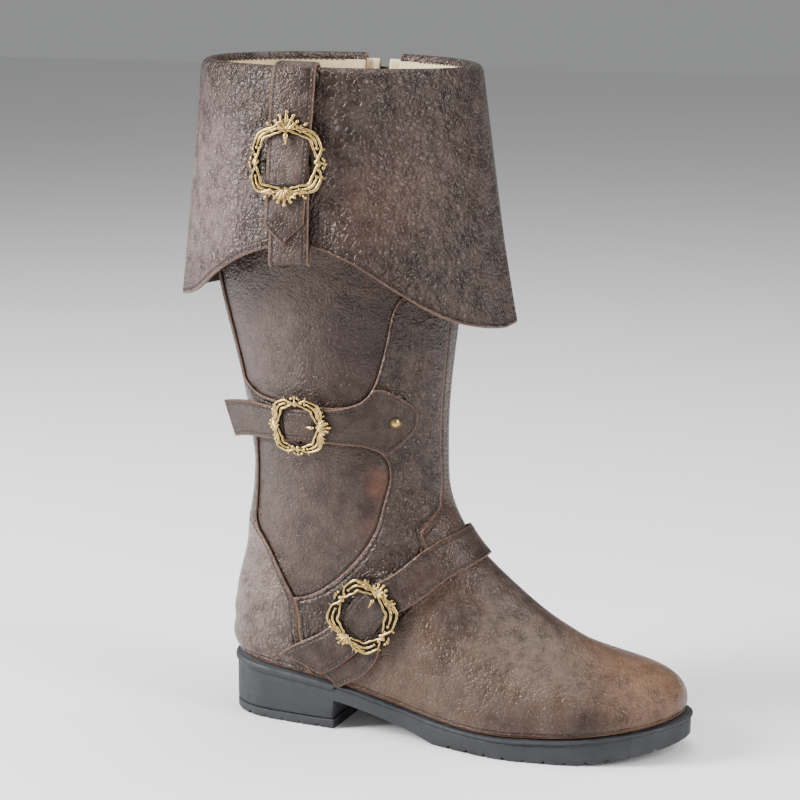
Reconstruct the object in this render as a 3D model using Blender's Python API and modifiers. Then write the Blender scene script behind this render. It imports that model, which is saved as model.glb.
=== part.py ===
"""A tall leather boot for the right foot, with a turned-down cuff and three buckled straps.

The origin is on the floor under the middle of the heel. X runs towards the toe, Z up,
and the outer side of the foot is at -Y. Lengths are in metres.

A point on the boot's skin is named by two numbers. "turn" goes once round the boot: 0 at the
back, 1 along the front ridge, 0 to 1 on the outer side and 1 to 2 on the inner side. "row"
climbs from 0 at the sole's edge to 16 at the collar, one for each section of the tables.
"""

import bpy
import bmesh
import numpy as np

# Foot and shaft
FOOT_LENGTH = 0.300
HEEL_WIDTH = 0.0654
WAIST_WIDTH = 0.0612
BALL_WIDTH = 0.1055
ANKLE_HEIGHT = 0.150
SHAFT_HEIGHT = 0.4158
SHAFT_DEPTH = 0.171
SHAFT_WIDTH = 0.145
WAIST_SWING = 0.0065
TOE_SWING = 0.0055
HEEL_CENTRE = 0.133  # share of the foot length from the heel's back to the origin

# Leather
WALL = 0.0022
COVER_THICK = 0.0013
COVER_CLEAR = 0.0004
STRAP_THICK = 0.0016
CLEAR = 0.0003
STRAP_CLEAR = 0.0012

# Sole
HEEL_SEAT = 0.0393
HEEL_LENGTH = 0.080
LIFT_THICK = 0.006
SHANK_RISE = 0.0183
TOE_SPRING = 0.0107
SOLE_LIP = 0.0012
LUG_DEPTH = 0.0016
LUG_GROOVE = 0.0024
LUG_PITCH = 0.0125
INSOLE_THICK = 0.003

# Cuff
CUFF_DEPTH = 0.155
CUFF_THICK = 0.002
CUFF_FLARE = 0.0178
CUFF_SHIFT = 0.002
CUFF_LIP = 0.010
CUFF_CROWN = 0.0022
CUFF_SPLIT_TOP = 0.0125
CUFF_SPLIT_HEM = 0.018

# Straps and buckles
CUFF_STRAP_WIDTH = 0.026
INSTEP_STRAP_WIDTH = 0.0235
CHAPE_WIDTH = 0.016
INSTEP_ROOM = 0.0009
KEEPER_WIDTH = 0.0216
KEEPER_HANG = 0.008
# how far a tail's end runs along the strap for each unit across it
INSTEP_SKEW = 0.85
ANKLE_SKEW = 0.32
ANKLE_TAIL = 0.034
TAIL_DROP = 0.003
BUCKLE_THICK = 0.0022
BUCKLE_CROWN = 0.0009
BUCKLE_ROOM = 0.0006
BAR_WIDTH = 0.0018
BAR_THICK = 0.0014
RIVET_RADIUS = 0.0033
RIVET_HEIGHT = 0.0018
# outer half sizes of the three frames, along the strap and across it
CUFF_FRAME = (0.0293, 0.0215)
ANKLE_FRAME = (0.0212, 0.0183)
INSTEP_FRAME = (0.025, 0.023)
# half lengths of their windows
CUFF_WINDOW = 0.0135
ANKLE_WINDOW = 0.0095
INSTEP_WINDOW = 0.01275

# Zip
ZIP_SLOT = 0.0070
ZIP_CHAIN_WIDTH = 0.0052
ZIP_TAPE_WIDTH = 0.022
ZIP_TAPE_THICK = 0.0008
ZIP_TAPE_CLEAR = 0.0009
SLIDER_ROW = 15.8
SLIDER_LIFT = 0.0009
PIN_LIFT = 0.0050
POST_THICK = 0.0012
SLIDER_WIDTH = 0.0088
SLIDER_LENGTH = 0.0125
SLIDER_THICK = 0.0015
PULL_WIDTH = 0.0070
PULL_LENGTH = 0.026
PULL_THICK = 0.0014
PIN_RADIUS = 0.0008
EYE_RADIUS = 0.0022
EYE_WIDTH = 0.0030

AROUND = 28
ROWS = np.array([
    0, 0.12, 0.6, 1.3, 2.1, 3, 4, 5, 6, 6.9, 7.7, 8.4, 9.1, 9.9, 10.8, 11.8, 12.8, 14.1, 15.4, 16,
])

COLUMNS = (
    "back_x back_z front_x front_z heel waist ball back_cap toe_cap toe_power follow swing toe"
).split()
# x in shares of the foot length, z of the ankle height, heel, waist and ball of their widths
FOOT_ROWS = [
    (0.013, 0.260, 0.980, 0.170, 0.95, 0.95, 0.95, 0.12, 0.27, 2.1, 1.00, 0.92, 0.91),
    (-0.003, 0.327, 0.985, 0.220, 0.99, 1.00, 0.97, 0.12, 0.26, 2.1, 1.00, 0.92, 0.91),
    (0.001, 0.387, 0.971, 0.289, 1.02, 1.03, 0.95, 0.13, 0.27, 2.0, 0.85, 0.92, 0.91),
    (0.000, 0.447, 0.924, 0.341, 1.03, 1.05, 0.90, 0.14, 0.30, 2.0, 0.65, 0.77, 0.91),
    (0.005, 0.500, 0.846, 0.387, 1.02, 1.06, 0.83, 0.15, 0.36, 1.9, 0.45, 0.62, 0.73),
    (0.009, 0.553, 0.762, 0.449, 1.02, 1.08, 0.77, 0.17, 0.43, 1.9, 0.28, 0.46, 0.55),
    (0.015, 0.613, 0.683, 0.539, 1.02, 1.10, 0.72, 0.22, 0.48, 1.9, 0.15, 0.31, 0.36),
    (0.024, 0.680, 0.607, 0.652, 1.07, 1.14, 0.70, 0.30, 0.50, 1.9, 0.06, 0.15, 0.18),
    (0.031, 0.753, 0.545, 0.758, 1.15, 1.23, 0.71, 0.40, 0.50, 2.0, 0.02, 0.00, 0.00),
    (0.036, 0.840, 0.501, 0.873, 1.24, 1.32, 0.76, 0.46, 0.50, 2.0, 0.00, 0.00, 0.00),
]
# centre in shares of the foot length, rises of the height from ankle to collar, and the
# depth and width of the shaft's own
SHAFT_COLUMNS = "centre rise_back rise_front depth width".split()
SHAFT_ROWS = [
    (0.260, -0.030, -0.003, 0.749, 0.600),
    (0.259, 0.056, 0.082, 0.725, 0.634),
    (0.254, 0.188, 0.203, 0.747, 0.669),
    (0.244, 0.357, 0.364, 0.833, 0.717),
    (0.234, 0.563, 0.563, 0.932, 0.807),
    (0.233, 0.788, 0.781, 0.947, 0.917),
    (0.242, 1.000, 0.988, 1.000, 1.000),
]
# Height of the seat that the upper stands on, in shares of the foot length and the heel seat
SEAT_PROFILE = [
    (0.00, 1.000), (0.13, 0.910), (0.267, 0.776), (0.467, 0.445),
    (0.633, 0.361), (0.767, 0.410), (1.00, 0.636),
]
# Edge of each cover: row, and the turn where it ends on the outer side
VAMP_EDGE = [
    (0.0, 0.345), (2.0, 0.385), (4.0, 0.450), (5.15, 0.500), (6.5, 0.600), (7.5, 0.690),
    (8.45, 0.769), (9.04, 0.781), (9.74, 0.915), (10.5, 0.962), (11.5, 0.960), (12.5, 0.957),
    (13.2, 0.950), (15.0, 0.945),
]
COUNTER_EDGE = [
    (0.0, 0.300), (2.5, 0.294), (5.5, 0.322), (7.16, 0.296), (8.46, 0.254), (9.02, 0.190), (9.4, 0.080),
]
# Outlines of the shaft windows: turn and row
UPPER_WINDOW = [
    (0.172, 12.46), (0.25, 12.33), (0.36, 12.25), (0.48, 12.21), (0.593, 12.21), (0.638, 12.28),
    (0.679, 12.50), (0.706, 12.88), (0.719, 13.13), (0.733, 13.45), (0.753, 13.60), (0.789, 13.66),
    (0.90, 13.70), (0.905, 14.6), (0.80, 14.85), (0.50, 14.90), (0.25, 14.85), (0.165, 14.7), (0.165, 13.5),
]
LOWER_WINDOW = [
    (0.20, 11.62), (0.36, 11.61), (0.526, 11.60), (0.663, 11.50), (0.712, 11.28), (0.726, 11.0),
    (0.722, 10.70), (0.703, 10.27), (0.667, 9.55), (0.607, 8.71), (0.535, 7.87), (0.462, 6.98),
    (0.40, 6.22), (0.318, 5.45), (0.280, 7.10), (0.230, 8.50), (0.195, 9.30), (0.181, 10.05), (0.178, 10.9),
]
INNER_WINDOW = [
    (1.50, 7.0), (1.62, 7.6), (1.655, 8.8), (1.66, 10.5), (1.655, 12.5), (1.64, 14.4), (1.60, 14.85),
    (1.50, 14.95), (1.40, 14.85), (1.36, 14.4), (1.345, 12.5), (1.34, 10.5), (1.345, 9.0), (1.40, 7.7),
]
ZIP_TURN = 1.5
ZIP_LINE = [
    (7.3, ZIP_TURN + 0.052), (8.0, ZIP_TURN + 0.030), (9.0, ZIP_TURN + 0.010), (10.0, ZIP_TURN),
    (16.0, ZIP_TURN),
]
COVER_START = 0.12
COVER_END = 15.4

# Drop of the cuff's hem round the boot, in shares of the cuff's depth
HEM = [
    (0.0, 0.935), (0.13, 0.920), (0.29, 0.832), (0.379, 0.723), (0.454, 0.665), (0.52, 0.645),
    (0.618, 0.697), (0.707, 0.805), (0.801, 0.910), (0.926, 0.981), (1.0, 1.000),
]
CUFF_STEPS = (-1.0, -0.02, 0.0, 0.002, 0.22, 0.48, 0.74, 1.0)

# Yoke and strap at the ankle: turn, and the rows of the lower and upper edge
YOKE = [
    (0.824, 11.92, 12.05), (0.811, 11.78, 12.17), (0.789, 11.65, 12.26), (0.763, 11.55, 12.34),
    (0.735, 11.44, 12.42), (0.714, 11.34, 12.46), (0.696, 11.42, 12.48), (0.678, 11.48, 12.48),
    (0.655, 11.53, 12.36), (0.638, 11.56, 12.29), (0.593, 11.60, 12.22), (0.54, 11.63, 12.19),
    (0.50, 11.65, 12.18), (0.46, 11.66, 12.18), (0.43, 11.66, 12.18), (0.40, 11.66, 12.18),
    (0.36, 11.65, 12.19), (0.31, 11.64, 12.20), (0.27, 11.63, 12.21),
]
RIVET_AT = (0.746, 11.95)
ANKLE_BUCKLE_AT = (0.447, 11.92)
# Middle line of the strap over the instep, from the tail to the inner side: turn and row
INSTEP_LINE = [
    (0.270, 0.30), (0.345, 2.15), (0.476, 5.34), (0.590, 6.65), (0.735, 7.72), (0.870, 8.18), (1.000, 8.30),
    (1.130, 8.18), (1.265, 7.72), (1.400, 6.65), (1.500, 5.00), (1.575, 2.60), (1.600, 0.35),
]
INSTEP_BUCKLE_AT = (0.476, 5.34)
CHAPE_LINE = [(0.343, 0.25), (0.383, 1.60), (0.418, 2.85), (0.441, 3.85)]
# Strap over the cuff: step down the cuff, turn of the middle line, share of the full width
CUFF_STRAP = [
    (-0.8, 0.508, 1.0), (-0.02, 0.508, 1.0), (0.0, 0.508, 1.0), (0.002, 0.508, 1.0), (0.10, 0.507, 1.0),
    (0.22, 0.506, 0.98), (0.34, 0.504, 0.95), (0.46, 0.502, 0.92), (0.58, 0.500, 0.89), (0.70, 0.499, 0.86),
    (0.80, 0.498, 0.84), (0.87, 0.497, 0.82), (0.92, 0.497, 0.58), (0.96, 0.496, 0.30), (0.99, 0.496, 0.08),
]
CUFF_BUCKLE_STEP = 0.506
KEEPER_TURN = 0.505


def spline(points, at):
    """Natural cubic curve through rows of a table, its first column the place, read at "at"."""
    table = np.array(points, float)
    x, y = table[:, 0], table[:, 1:]
    n, h = len(x), np.diff(x)
    system = np.eye(n)
    right = np.zeros_like(y)
    for i in range(1, n - 1):
        system[i, i - 1 : i + 2] = h[i - 1], 2 * (h[i - 1] + h[i]), h[i]
        right[i] = 6 * ((y[i + 1] - y[i]) / h[i] - (y[i] - y[i - 1]) / h[i - 1])
    bend = np.linalg.solve(system, right)
    at = np.asarray(at, float)
    k = np.clip(np.searchsorted(x, at) - 1, 0, n - 2)
    a = ((x[k + 1] - at) / h[k])[..., None]
    b = 1 - a
    step = h[k][..., None] ** 2 / 6
    return a * y[k] + b * y[k + 1] + ((a**3 - a) * bend[k] + (b**3 - b) * bend[k + 1]) * step


def straight(points, at):
    """Value between the rows of a two-column table, joined by straight lines."""
    table = np.array(points, float)
    return np.interp(at, table[:, 0], table[:, 1])


def along(share):
    """X of a place given as a share of the foot length from the heel's back."""
    return (share - HEEL_CENTRE) * FOOT_LENGTH


def seat(x):
    """Height of the sole's top at x."""
    share = np.clip(x / FOOT_LENGTH + HEEL_CENTRE, 0, 1)
    return spline(SEAT_PROFILE, share)[..., 0] * HEEL_SEAT


def sections():
    """The section table in metres, one row for each row of the skin."""
    rise = SHAFT_HEIGHT - ANKLE_HEIGHT
    rows = []
    for r in FOOT_ROWS:
        v = dict(zip(COLUMNS, r))
        rows.append((
            along(v["back_x"]), v["back_z"] * ANKLE_HEIGHT,
            along(v["front_x"]), v["front_z"] * ANKLE_HEIGHT,
            v["heel"] * HEEL_WIDTH, v["waist"] * WAIST_WIDTH, v["ball"] * BALL_WIDTH,
            v["back_cap"], v["toe_cap"], v["toe_power"], v["follow"],
            v["swing"] * WAIST_SWING, v["toe"] * TOE_SWING,
        ))
    for r in SHAFT_ROWS:
        v = dict(zip(SHAFT_COLUMNS, r))
        middle, half = along(v["centre"]), v["depth"] * SHAFT_DEPTH / 2
        width = v["width"] * SHAFT_WIDTH
        rows.append((
            middle - half, ANKLE_HEIGHT + v["rise_back"] * rise, middle + half,
            ANKLE_HEIGHT + v["rise_front"] * rise, width, width, width, 0.5, 0.5, 2.0, 0.0, 0.0, 0.0,
        ))
    return [(i, *row) for i, row in enumerate(rows)]


SECTIONS = sections()
TOP_ROW = len(SECTIONS) - 1.0


def ease(t):
    """0 to 1 with level ends."""
    t = np.clip(t, 0, 1)
    return t * t * (3 - 2 * t)


def cap(distance, length, power):
    """Share of the full half width near a rounded end, 0 at the end itself."""
    return (1 - np.clip(1 - distance / length, 0, 1) ** power) ** (1 / power)


def ring(v, turn):
    """Plan of one section: a body of three widths with a rounded back and front."""
    angle = np.pi * turn
    s = (1 - np.cos(angle)) / 2
    body = v["heel"] + (v["waist"] - v["heel"]) * ease((s - 0.14) / 0.26)
    body = body + (v["ball"] - v["waist"]) * ease((s - 0.40) / 0.30)
    half = 0.5 * body * cap(s, v["back_cap"], 2.0) * cap(1 - s, v["toe_cap"], v["toe_power"])
    side = np.where(np.sin(angle) >= 0, -1.0, 1.0)
    middle = v["toe"] * np.clip((s - 0.45) / 0.55, 0, 1) ** 1.5
    middle = middle - v["swing"] * np.sin(np.pi * np.clip((s - 0.1) / 0.62, 0, 1))
    x = v["back_x"] + (v["front_x"] - v["back_x"]) * s
    return x, middle + side * half, s


def bare_skin(turn, row):
    """Points of the upper's outer face, before any lift."""
    turn, row = np.broadcast_arrays(np.asarray(turn, float), np.asarray(row, float))
    values = spline(SECTIONS, row)
    v = {name: values[..., i] for i, name in enumerate(COLUMNS)}
    x, y, s = ring(v, turn)
    z = v["back_z"] + (v["front_z"] - v["back_z"]) * s
    first = FOOT_ROWS[0]
    level = (first[1] + (first[3] - first[1]) * s) * ANKLE_HEIGHT
    z = z + v["follow"] * (seat(x) + CLEAR - level)
    return np.stack([x, y, z], -1), v["follow"]


def unit(v):
    return v / np.maximum(np.linalg.norm(v, axis=-1, keepdims=True), 1e-12)


def slopes(turn, row, small=0.004):
    """How the skin's point moves for a unit of turn and for a unit of row."""
    by_turn = (bare_skin(turn + small, row)[0] - bare_skin(turn - small, row)[0]) / (2 * small)
    by_row = (bare_skin(turn, row + small * 5)[0] - bare_skin(turn, row - small * 5)[0]) / (10 * small)
    return by_turn, by_row


def skin(turn, row, lift=0.0, level=False):
    """Points at a height "lift" over the upper's outer face. Level lifts keep their height."""
    turn, row = np.broadcast_arrays(np.asarray(turn, float), np.asarray(row, float))
    point, follow = bare_skin(turn, row)
    by_turn, by_row = slopes(turn, np.maximum(row, 0.02))
    normal = np.cross(by_turn, by_row)
    flat = 0.0 if level else ease(row / 1.5)[..., None]
    plan, rise = np.ones_like(point[..., :2]), np.ones_like(point[..., :1]) * flat
    normal = unit(normal * np.concatenate([plan, rise], -1))
    lifted = point + normal * np.asarray(lift, float)[..., None]
    lifted[..., 2] += follow * (seat(lifted[..., 0]) - seat(point[..., 0]))
    return lifted


def step(turn, row, way):
    """Turn and row of the place that lies the vector "way" off along the skin."""
    parts = 4
    for _ in range(parts):
        by_turn, by_row = slopes(turn, row)
        tt, rr, tr = (by_turn**2).sum(-1), (by_row**2).sum(-1), (by_turn * by_row).sum(-1)
        t, r = (by_turn * way).sum(-1) / parts, (by_row * way).sum(-1) / parts
        whole = tt * rr - tr**2
        turn = turn + (t * rr - r * tr) / whole
        row = row + (r * tt - t * tr) / whole
    return turn, row


def material(name, colour, roughness, metallic=0.0):
    made = bpy.data.materials.new(name)
    made.use_nodes = True
    shader = made.node_tree.nodes["Principled BSDF"]
    shader.inputs["Base Color"].default_value = (*colour, 1.0)
    shader.inputs["Roughness"].default_value = roughness
    shader.inputs["Metallic"].default_value = metallic
    made.diffuse_color = (*colour, 1.0)
    return made


def add(name, points, faces, where, paint=None, smooth=True):
    """A mesh object of the given points and faces, shaded smooth."""
    mesh = bpy.data.meshes.new(name)
    mesh.from_pydata([tuple(p) for p in points], [], faces)
    made = bpy.data.objects.new(name, mesh)
    where.objects.link(made)
    if smooth:
        mesh.shade_smooth()
        mesh.set_sharp_from_angle(angle=np.radians(40))
    if paint:
        mesh.materials.append(paint)
    return made


def grid_faces(rows, columns, closed):
    """Quads of a grid of points, joined to a ring if it is closed."""
    faces = []
    for i in range(rows - 1):
        for j in range(columns if closed else columns - 1):
            k = (j + 1) % columns
            low, high = i * columns, (i + 1) * columns
            faces.append((low + j, low + k, high + k, high + j))
    return faces


def sheet(name, grid, thick, where, paint=None, closed=False, outward=True):
    """A sheet of leather: the grid's surface in triangles, thickened to one side of it."""
    rows, columns = grid.shape[:2]
    quads = grid_faces(rows, columns, closed)
    faces = [half for a, b, c, d in quads for half in ((a, b, c), (a, c, d))]
    made = add(name, grid.reshape(-1, 3), faces, where, paint)
    wall = made.modifiers.new("wall", "SOLIDIFY")
    wall.thickness = thick
    wall.offset = 1.0 if outward else -1.0
    wall.use_quality_normals = True
    return made


def cut(target, cutter, operation="DIFFERENCE"):
    made = target.modifiers.new(operation.lower(), "BOOLEAN")
    made.operation = operation
    made.solver = "EXACT"
    made.object = cutter
    return made


def lifted(grid, lift):
    """The grid's points moved along its own normals."""
    across = np.gradient(grid, axis=1)
    up = np.gradient(grid, axis=0)
    return grid + unit(np.cross(across, up)) * np.asarray(lift, float)[..., None]


def solid(name, points, faces, where, paint=None, smooth=False):
    """A closed body of the given faces, all turned outwards."""
    made = add(name, points, faces, where, paint, smooth)
    shape = bmesh.new()
    shape.from_mesh(made.data)
    bmesh.ops.recalc_face_normals(shape, faces=shape.faces)
    shape.to_mesh(made.data)
    shape.free()
    return made


def block(name, low, high, where):
    """The closed body between two open grids of points."""
    rows, columns = low.shape[:2]
    count = rows * columns
    faces = grid_faces(rows, columns, False)
    faces += [tuple(count + i for i in face) for face in faces]
    edge = [j for j in range(columns)] + [i * columns + columns - 1 for i in range(1, rows)]
    edge += [(rows - 1) * columns + j for j in range(columns - 2, -1, -1)]
    edge += [i * columns for i in range(rows - 2, 0, -1)]
    faces += [(a, b, b + count, a + count) for a, b in zip(edge, edge[1:] + edge[:1])]
    return solid(name, np.concatenate([low.reshape(-1, 3), high.reshape(-1, 3)]), faces, where)


def prism(name, outline, low, high, where):
    """An outline in the plane of X and Z, carried along Y from low to high."""
    n = len(outline)
    points = [(x, low, z) for x, z in outline] + [(x, high, z) for x, z in outline]
    faces = [tuple(range(n)), tuple(reversed(range(n, 2 * n)))]
    faces += [(i, i + n, (i + 1) % n + n, (i + 1) % n) for i in range(n)]
    return solid(name, points, faces, where)


def patch(name, outline, where, low=-0.004, high=0.006):
    """A solid plug through the skin inside a closed outline given by turn and row."""
    table = np.array(outline, float)
    table = np.vstack([table, table[:1]])
    run = np.concatenate([[0], np.cumsum(np.hypot(*(np.diff(table, axis=0) * (8.0, 1.0)).T))])
    edge = spline(np.column_stack([run, table]), np.linspace(0, run[-1], 29)[:-1])
    middle = (edge.min(axis=0) + edge.max(axis=0)) / 2
    shares = np.array([1.0, 0.6, 0.25])[:, None, None]
    places = middle + (edge[None] - middle) * shares
    n, levels = len(edge), len(shares)
    points, faces = [], []
    for lift in (low, high):
        points.extend(skin(places[..., 0], places[..., 1], lift).reshape(-1, 3))
        points.append(skin(middle[0], middle[1], lift))
    half = n * levels + 1
    for base in (0, half):
        last = base + n * (levels - 1)
        faces += [tuple(base + i for i in f) for f in grid_faces(levels, n, True)]
        faces += [(last + j, last + (j + 1) % n, base + half - 1) for j in range(n)]
    faces += [(j, (j + 1) % n, half + (j + 1) % n, half + j) for j in range(n)]
    return solid(name, points, faces, where)


def band(name, line, rows, width, low, high, where):
    """A plug along a line of the skin: rows of turn and row, with a width across."""
    at = np.linspace(rows[0], rows[1], 14)
    turn = straight(line, np.minimum(at, line[-1][0]))
    by_turn = np.linalg.norm(slopes(turn, at)[0], axis=-1)
    across = np.array([-0.5, 0.0, 0.5])
    turns = turn[:, None] + across * width / by_turn[:, None]
    rows = at[:, None] + 0 * turns
    return block(name, skin(turns, rows, low), skin(turns, rows, high), where)


def edge_region(name, edge, from_front, shrink, where):
    """A solid over all of the skin on one side of a cover's edge, held back by "shrink"."""
    at = np.linspace(-0.2, edge[-1][0], 17)
    ends = straight(edge, at)
    if shrink < 0:
        at = np.append(at, at[-1] + 0.05)
        ends = np.append(ends, ends[-1])
    by_turn = np.linalg.norm(slopes(ends, at)[0], axis=-1)
    ends = ends + (shrink if from_front else -shrink) / by_turn
    columns = 31
    share = np.linspace(-1, 1, columns)
    middle = 1.0 if from_front else 0.0
    turns = middle + share * np.abs(middle - ends)[:, None]
    rows = at[:, None] + 0 * turns
    return block(name, skin(turns, rows, -0.003), skin(turns, rows, 0.006), where)


def make_upper(where, cutters, paint):
    turns = np.linspace(0, 2, AROUND + 1)[:-1]
    grid = skin(turns[None, :], ROWS[:, None])
    upper = sheet("upper", grid, WALL, where, paint, closed=True, outward=False)
    slot = band("zip_slot", ZIP_LINE, (ZIP_LINE[0][0], TOP_ROW + 0.3), ZIP_SLOT, -0.006, 0.006, cutters)
    cut(upper, slot)
    return slot


def make_covers(where, cutters, slot, paints):
    """Counter, vamp and the frame round the shaft's windows, all cut from one lifted skin."""
    turns = np.linspace(0, 2, AROUND + 1)[:-1]
    rows = ROWS[(ROWS > COVER_START - 0.01) & (ROWS < COVER_END + 0.01)]
    grid = skin(turns[None, :], rows[:, None], COVER_CLEAR)
    for name in ("counter", "vamp", "shaft_overlay"):
        sheet(name, grid, COVER_THICK, where, paints[name], closed=True)
    seam = 0.7 * CLEAR
    heel = edge_region("counter_region", COUNTER_EDGE, False, seam, cutters)
    front = edge_region("vamp_region", VAMP_EDGE, True, seam, cutters)
    heel_hole = edge_region("counter_hole", COUNTER_EDGE, False, -seam, cutters)
    front_hole = edge_region("vamp_hole", VAMP_EDGE, True, -seam, cutters)
    objects = bpy.data.objects
    cut(objects["counter"], heel, "INTERSECT")
    cut(objects["vamp"], front, "INTERSECT")
    frame = objects["shaft_overlay"]
    cut(frame, slot)
    cut(frame, patch("upper_window", UPPER_WINDOW, cutters))
    cut(frame, patch("lower_window", LOWER_WINDOW, cutters))
    cut(frame, patch("inner_window", INNER_WINDOW, cutters))
    cut(frame, heel_hole)
    cut(frame, front_hole)


def sole_ring(turn, outset=0.0):
    """Plan of the outsole, larger all round by "outset"."""
    v = dict(back_x=along(0) - outset, front_x=along(1) + outset, heel=HEEL_WIDTH + 2 * outset,
             waist=WAIST_WIDTH + 2 * outset, ball=BALL_WIDTH + 2 * outset, back_cap=0.12, toe_cap=0.299,
             toe_power=1.97, swing=WAIST_SWING, toe=TOE_SWING)
    x, y, _ = ring(v, turn)
    return x, y


def spring(x):
    """Height of the tread over the floor at x, before the arch is cut."""
    start = 0.767
    share = np.clip((x / FOOT_LENGTH + HEEL_CENTRE - start) / (1 - start), 0, 1)
    return TOE_SPRING * share**1.8


def loft(name, rings, where, paint=None):
    """A closed body through rings of points, each pair of end rings closed by strips across."""
    levels, n = rings.shape[:2]
    faces = grid_faces(levels, n, True)
    for base, flip in ((0, True), ((levels - 1) * n, False)):
        for k in range(n // 2):
            corners = [base + k, base + k + 1, base + (n - k - 1) % n, base + (n - k) % n]
            corners = list(dict.fromkeys(corners))
            faces.append(tuple(reversed(corners)) if flip else tuple(corners))
    return solid(name, rings.reshape(-1, 3), faces, where, paint, smooth=True)


def make_sole(where, cutters, paints):
    turns = np.linspace(0, 2, 45)[:-1]
    # share of the height, and how far the side stands out there
    side = [(0.0, -1.0), (0.10, 0.0), (0.62, 0.0), (0.70, 0.35), (0.90, 0.35), (1.0, -0.9)]
    rings = []
    for share, out in side:
        x, y = sole_ring(turns, out * SOLE_LIP)
        top, bottom = seat(x), spring(x)
        rings.append(np.stack([x, y, bottom + (top - bottom) * share], -1))
    outsole = loft("outsole", np.array(rings), where, paints["outsole"])
    breast = along(0) + HEEL_LENGTH
    ground = along(0.496)
    lift_top = LIFT_THICK + CLEAR
    far = FOOT_LENGTH
    under = [(-far, -0.01), (-far, lift_top), (breast, lift_top), (breast - 0.002, SHANK_RISE)]
    for share in (0.3, 0.55, 0.8):
        under.append((breast + (ground - breast) * share, SHANK_RISE * (1 - share**1.25)))
    under += [(ground, 0.0), (ground + 0.003, -0.01)]
    cut(outsole, prism("arch", under, -BALL_WIDTH, BALL_WIDTH, cutters))

    x_low, y_low = sole_ring(turns, -0.6 * SOLE_LIP)
    x_high, y_high = sole_ring(turns, 0.0)
    lift = loft("heel_lift", np.array([
        np.stack([x_low, y_low, 0 * x_low], -1),
        np.stack([x_high, y_high, 0 * x_low + LIFT_THICK * 0.25], -1),
        np.stack([x_high, y_high, 0 * x_low + LIFT_THICK], -1),
    ]), where, paints["heel_lift"])
    box = [(-far, -0.01), (-far, LIFT_THICK + 0.01), (breast, LIFT_THICK + 0.01), (breast + 0.0005, -0.01)]
    cut(lift, prism("lift_end", box, -BALL_WIDTH, BALL_WIDTH, cutters), "INTERSECT")
    make_lugs(outsole, lift, breast, ground, cutters)


def make_lugs(outsole, lift, breast, ground, cutters):
    """Grooves across the tread, a row of box cutters in one mesh for each piece."""
    start = ground + LUG_PITCH
    front = [start + i * LUG_PITCH for i in range(int((along(0.965) - start) / LUG_PITCH) + 1)]
    heel = [along(0.03) + LUG_PITCH * (i + 0.8) for i in range(int((HEEL_LENGTH - 0.012) / LUG_PITCH))]
    for target, places in ((outsole, front), (lift, heel)):
        shape = bmesh.new()
        for x in places:
            made = bmesh.ops.create_cube(shape, size=1.0)["verts"]
            top = float(spring(np.array(x))) + LUG_DEPTH
            bmesh.ops.scale(shape, verts=made, vec=(LUG_GROOVE, 2.4 * BALL_WIDTH, 0.01))
            bmesh.ops.translate(shape, verts=made, vec=(x, 0, top - 0.005))
        mesh = bpy.data.meshes.new(target.name + "_grooves")
        shape.to_mesh(mesh)
        shape.free()
        grooves = bpy.data.objects.new(mesh.name, mesh)
        cutters.objects.link(grooves)
        cut(target, grooves)


def make_insole(where, paint):
    turns = np.linspace(0.035, 0.965, 13)
    outer = skin(turns, 0.0 * turns, -(WALL + 3 * COVER_CLEAR))
    inner = skin(2 - turns, 0.0 * turns, -(WALL + 3 * COVER_CLEAR))
    share = np.linspace(0, 1, 4)[:, None, None]
    grid = outer[None] + (inner - outer)[None] * share
    grid[..., 2] = seat(grid[..., 0]) + CLEAR
    made = sheet("insole", grid, INSOLE_THICK, where, paint)
    return made


def hem(turn):
    """Share of the cuff's depth at a turn, the same on both sides."""
    folded = np.abs((np.asarray(turn, float) + 1) % 2 - 1)
    return straight(HEM, folded) if folded.ndim == 0 else spline(HEM, folded)[..., 0]


def cuff_path(turn, at):
    """The cuff's face towards the shaft: inside the collar below 0, over it, and down to the hem at 1."""
    turn, at = np.broadcast_arrays(np.asarray(turn, float), np.asarray(at, float))
    inside = at < 0
    drop = np.where(inside, -at * CUFF_LIP, at * hem(turn) * CUFF_DEPTH)
    flare = 2 * COVER_CLEAR + CUFF_FLARE * drop / CUFF_DEPTH
    lift = np.where(inside, -(WALL + 2 * COVER_CLEAR), flare)
    lift = np.where(at == 0, -WALL / 2, lift)
    row = np.where(inside, TOP_ROW - drop / (0.211 * (SHAFT_HEIGHT - ANKLE_HEIGHT)), TOP_ROW)
    point = skin(turn, row, lift, level=True)
    top = skin(turn, np.full_like(turn, TOP_ROW))[..., 2]
    point[..., 2] = top - np.where(at == 0, -CUFF_CROWN, drop)
    point[..., 0] += np.where(inside, 0, CUFF_SHIFT * drop / CUFF_DEPTH)
    return point


def make_cuff(where, paint):
    at = np.array(CUFF_STEPS)
    width = np.interp(at, (-1, 0, 1), (CUFF_SPLIT_TOP, CUFF_SPLIT_TOP, CUFF_SPLIT_HEM))
    by_turn = np.linalg.norm(slopes(np.array(ZIP_TURN), np.array(TOP_ROW))[0])
    gap = width / by_turn
    posts = np.arange(2 * AROUND) * 2 / AROUND
    first, last = ZIP_TURN + gap, ZIP_TURN + 2 - gap
    posts = posts[(posts > first.max() + 0.1 * gap.max()) & (posts < last.min() - 0.1 * gap.max())]
    turns = np.column_stack([first, np.tile(posts, (len(at), 1)), last])
    grid = cuff_path(turns % 2, at[:, None])
    return sheet("cuff", grid, CUFF_THICK, where, paint, outward=False)


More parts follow.
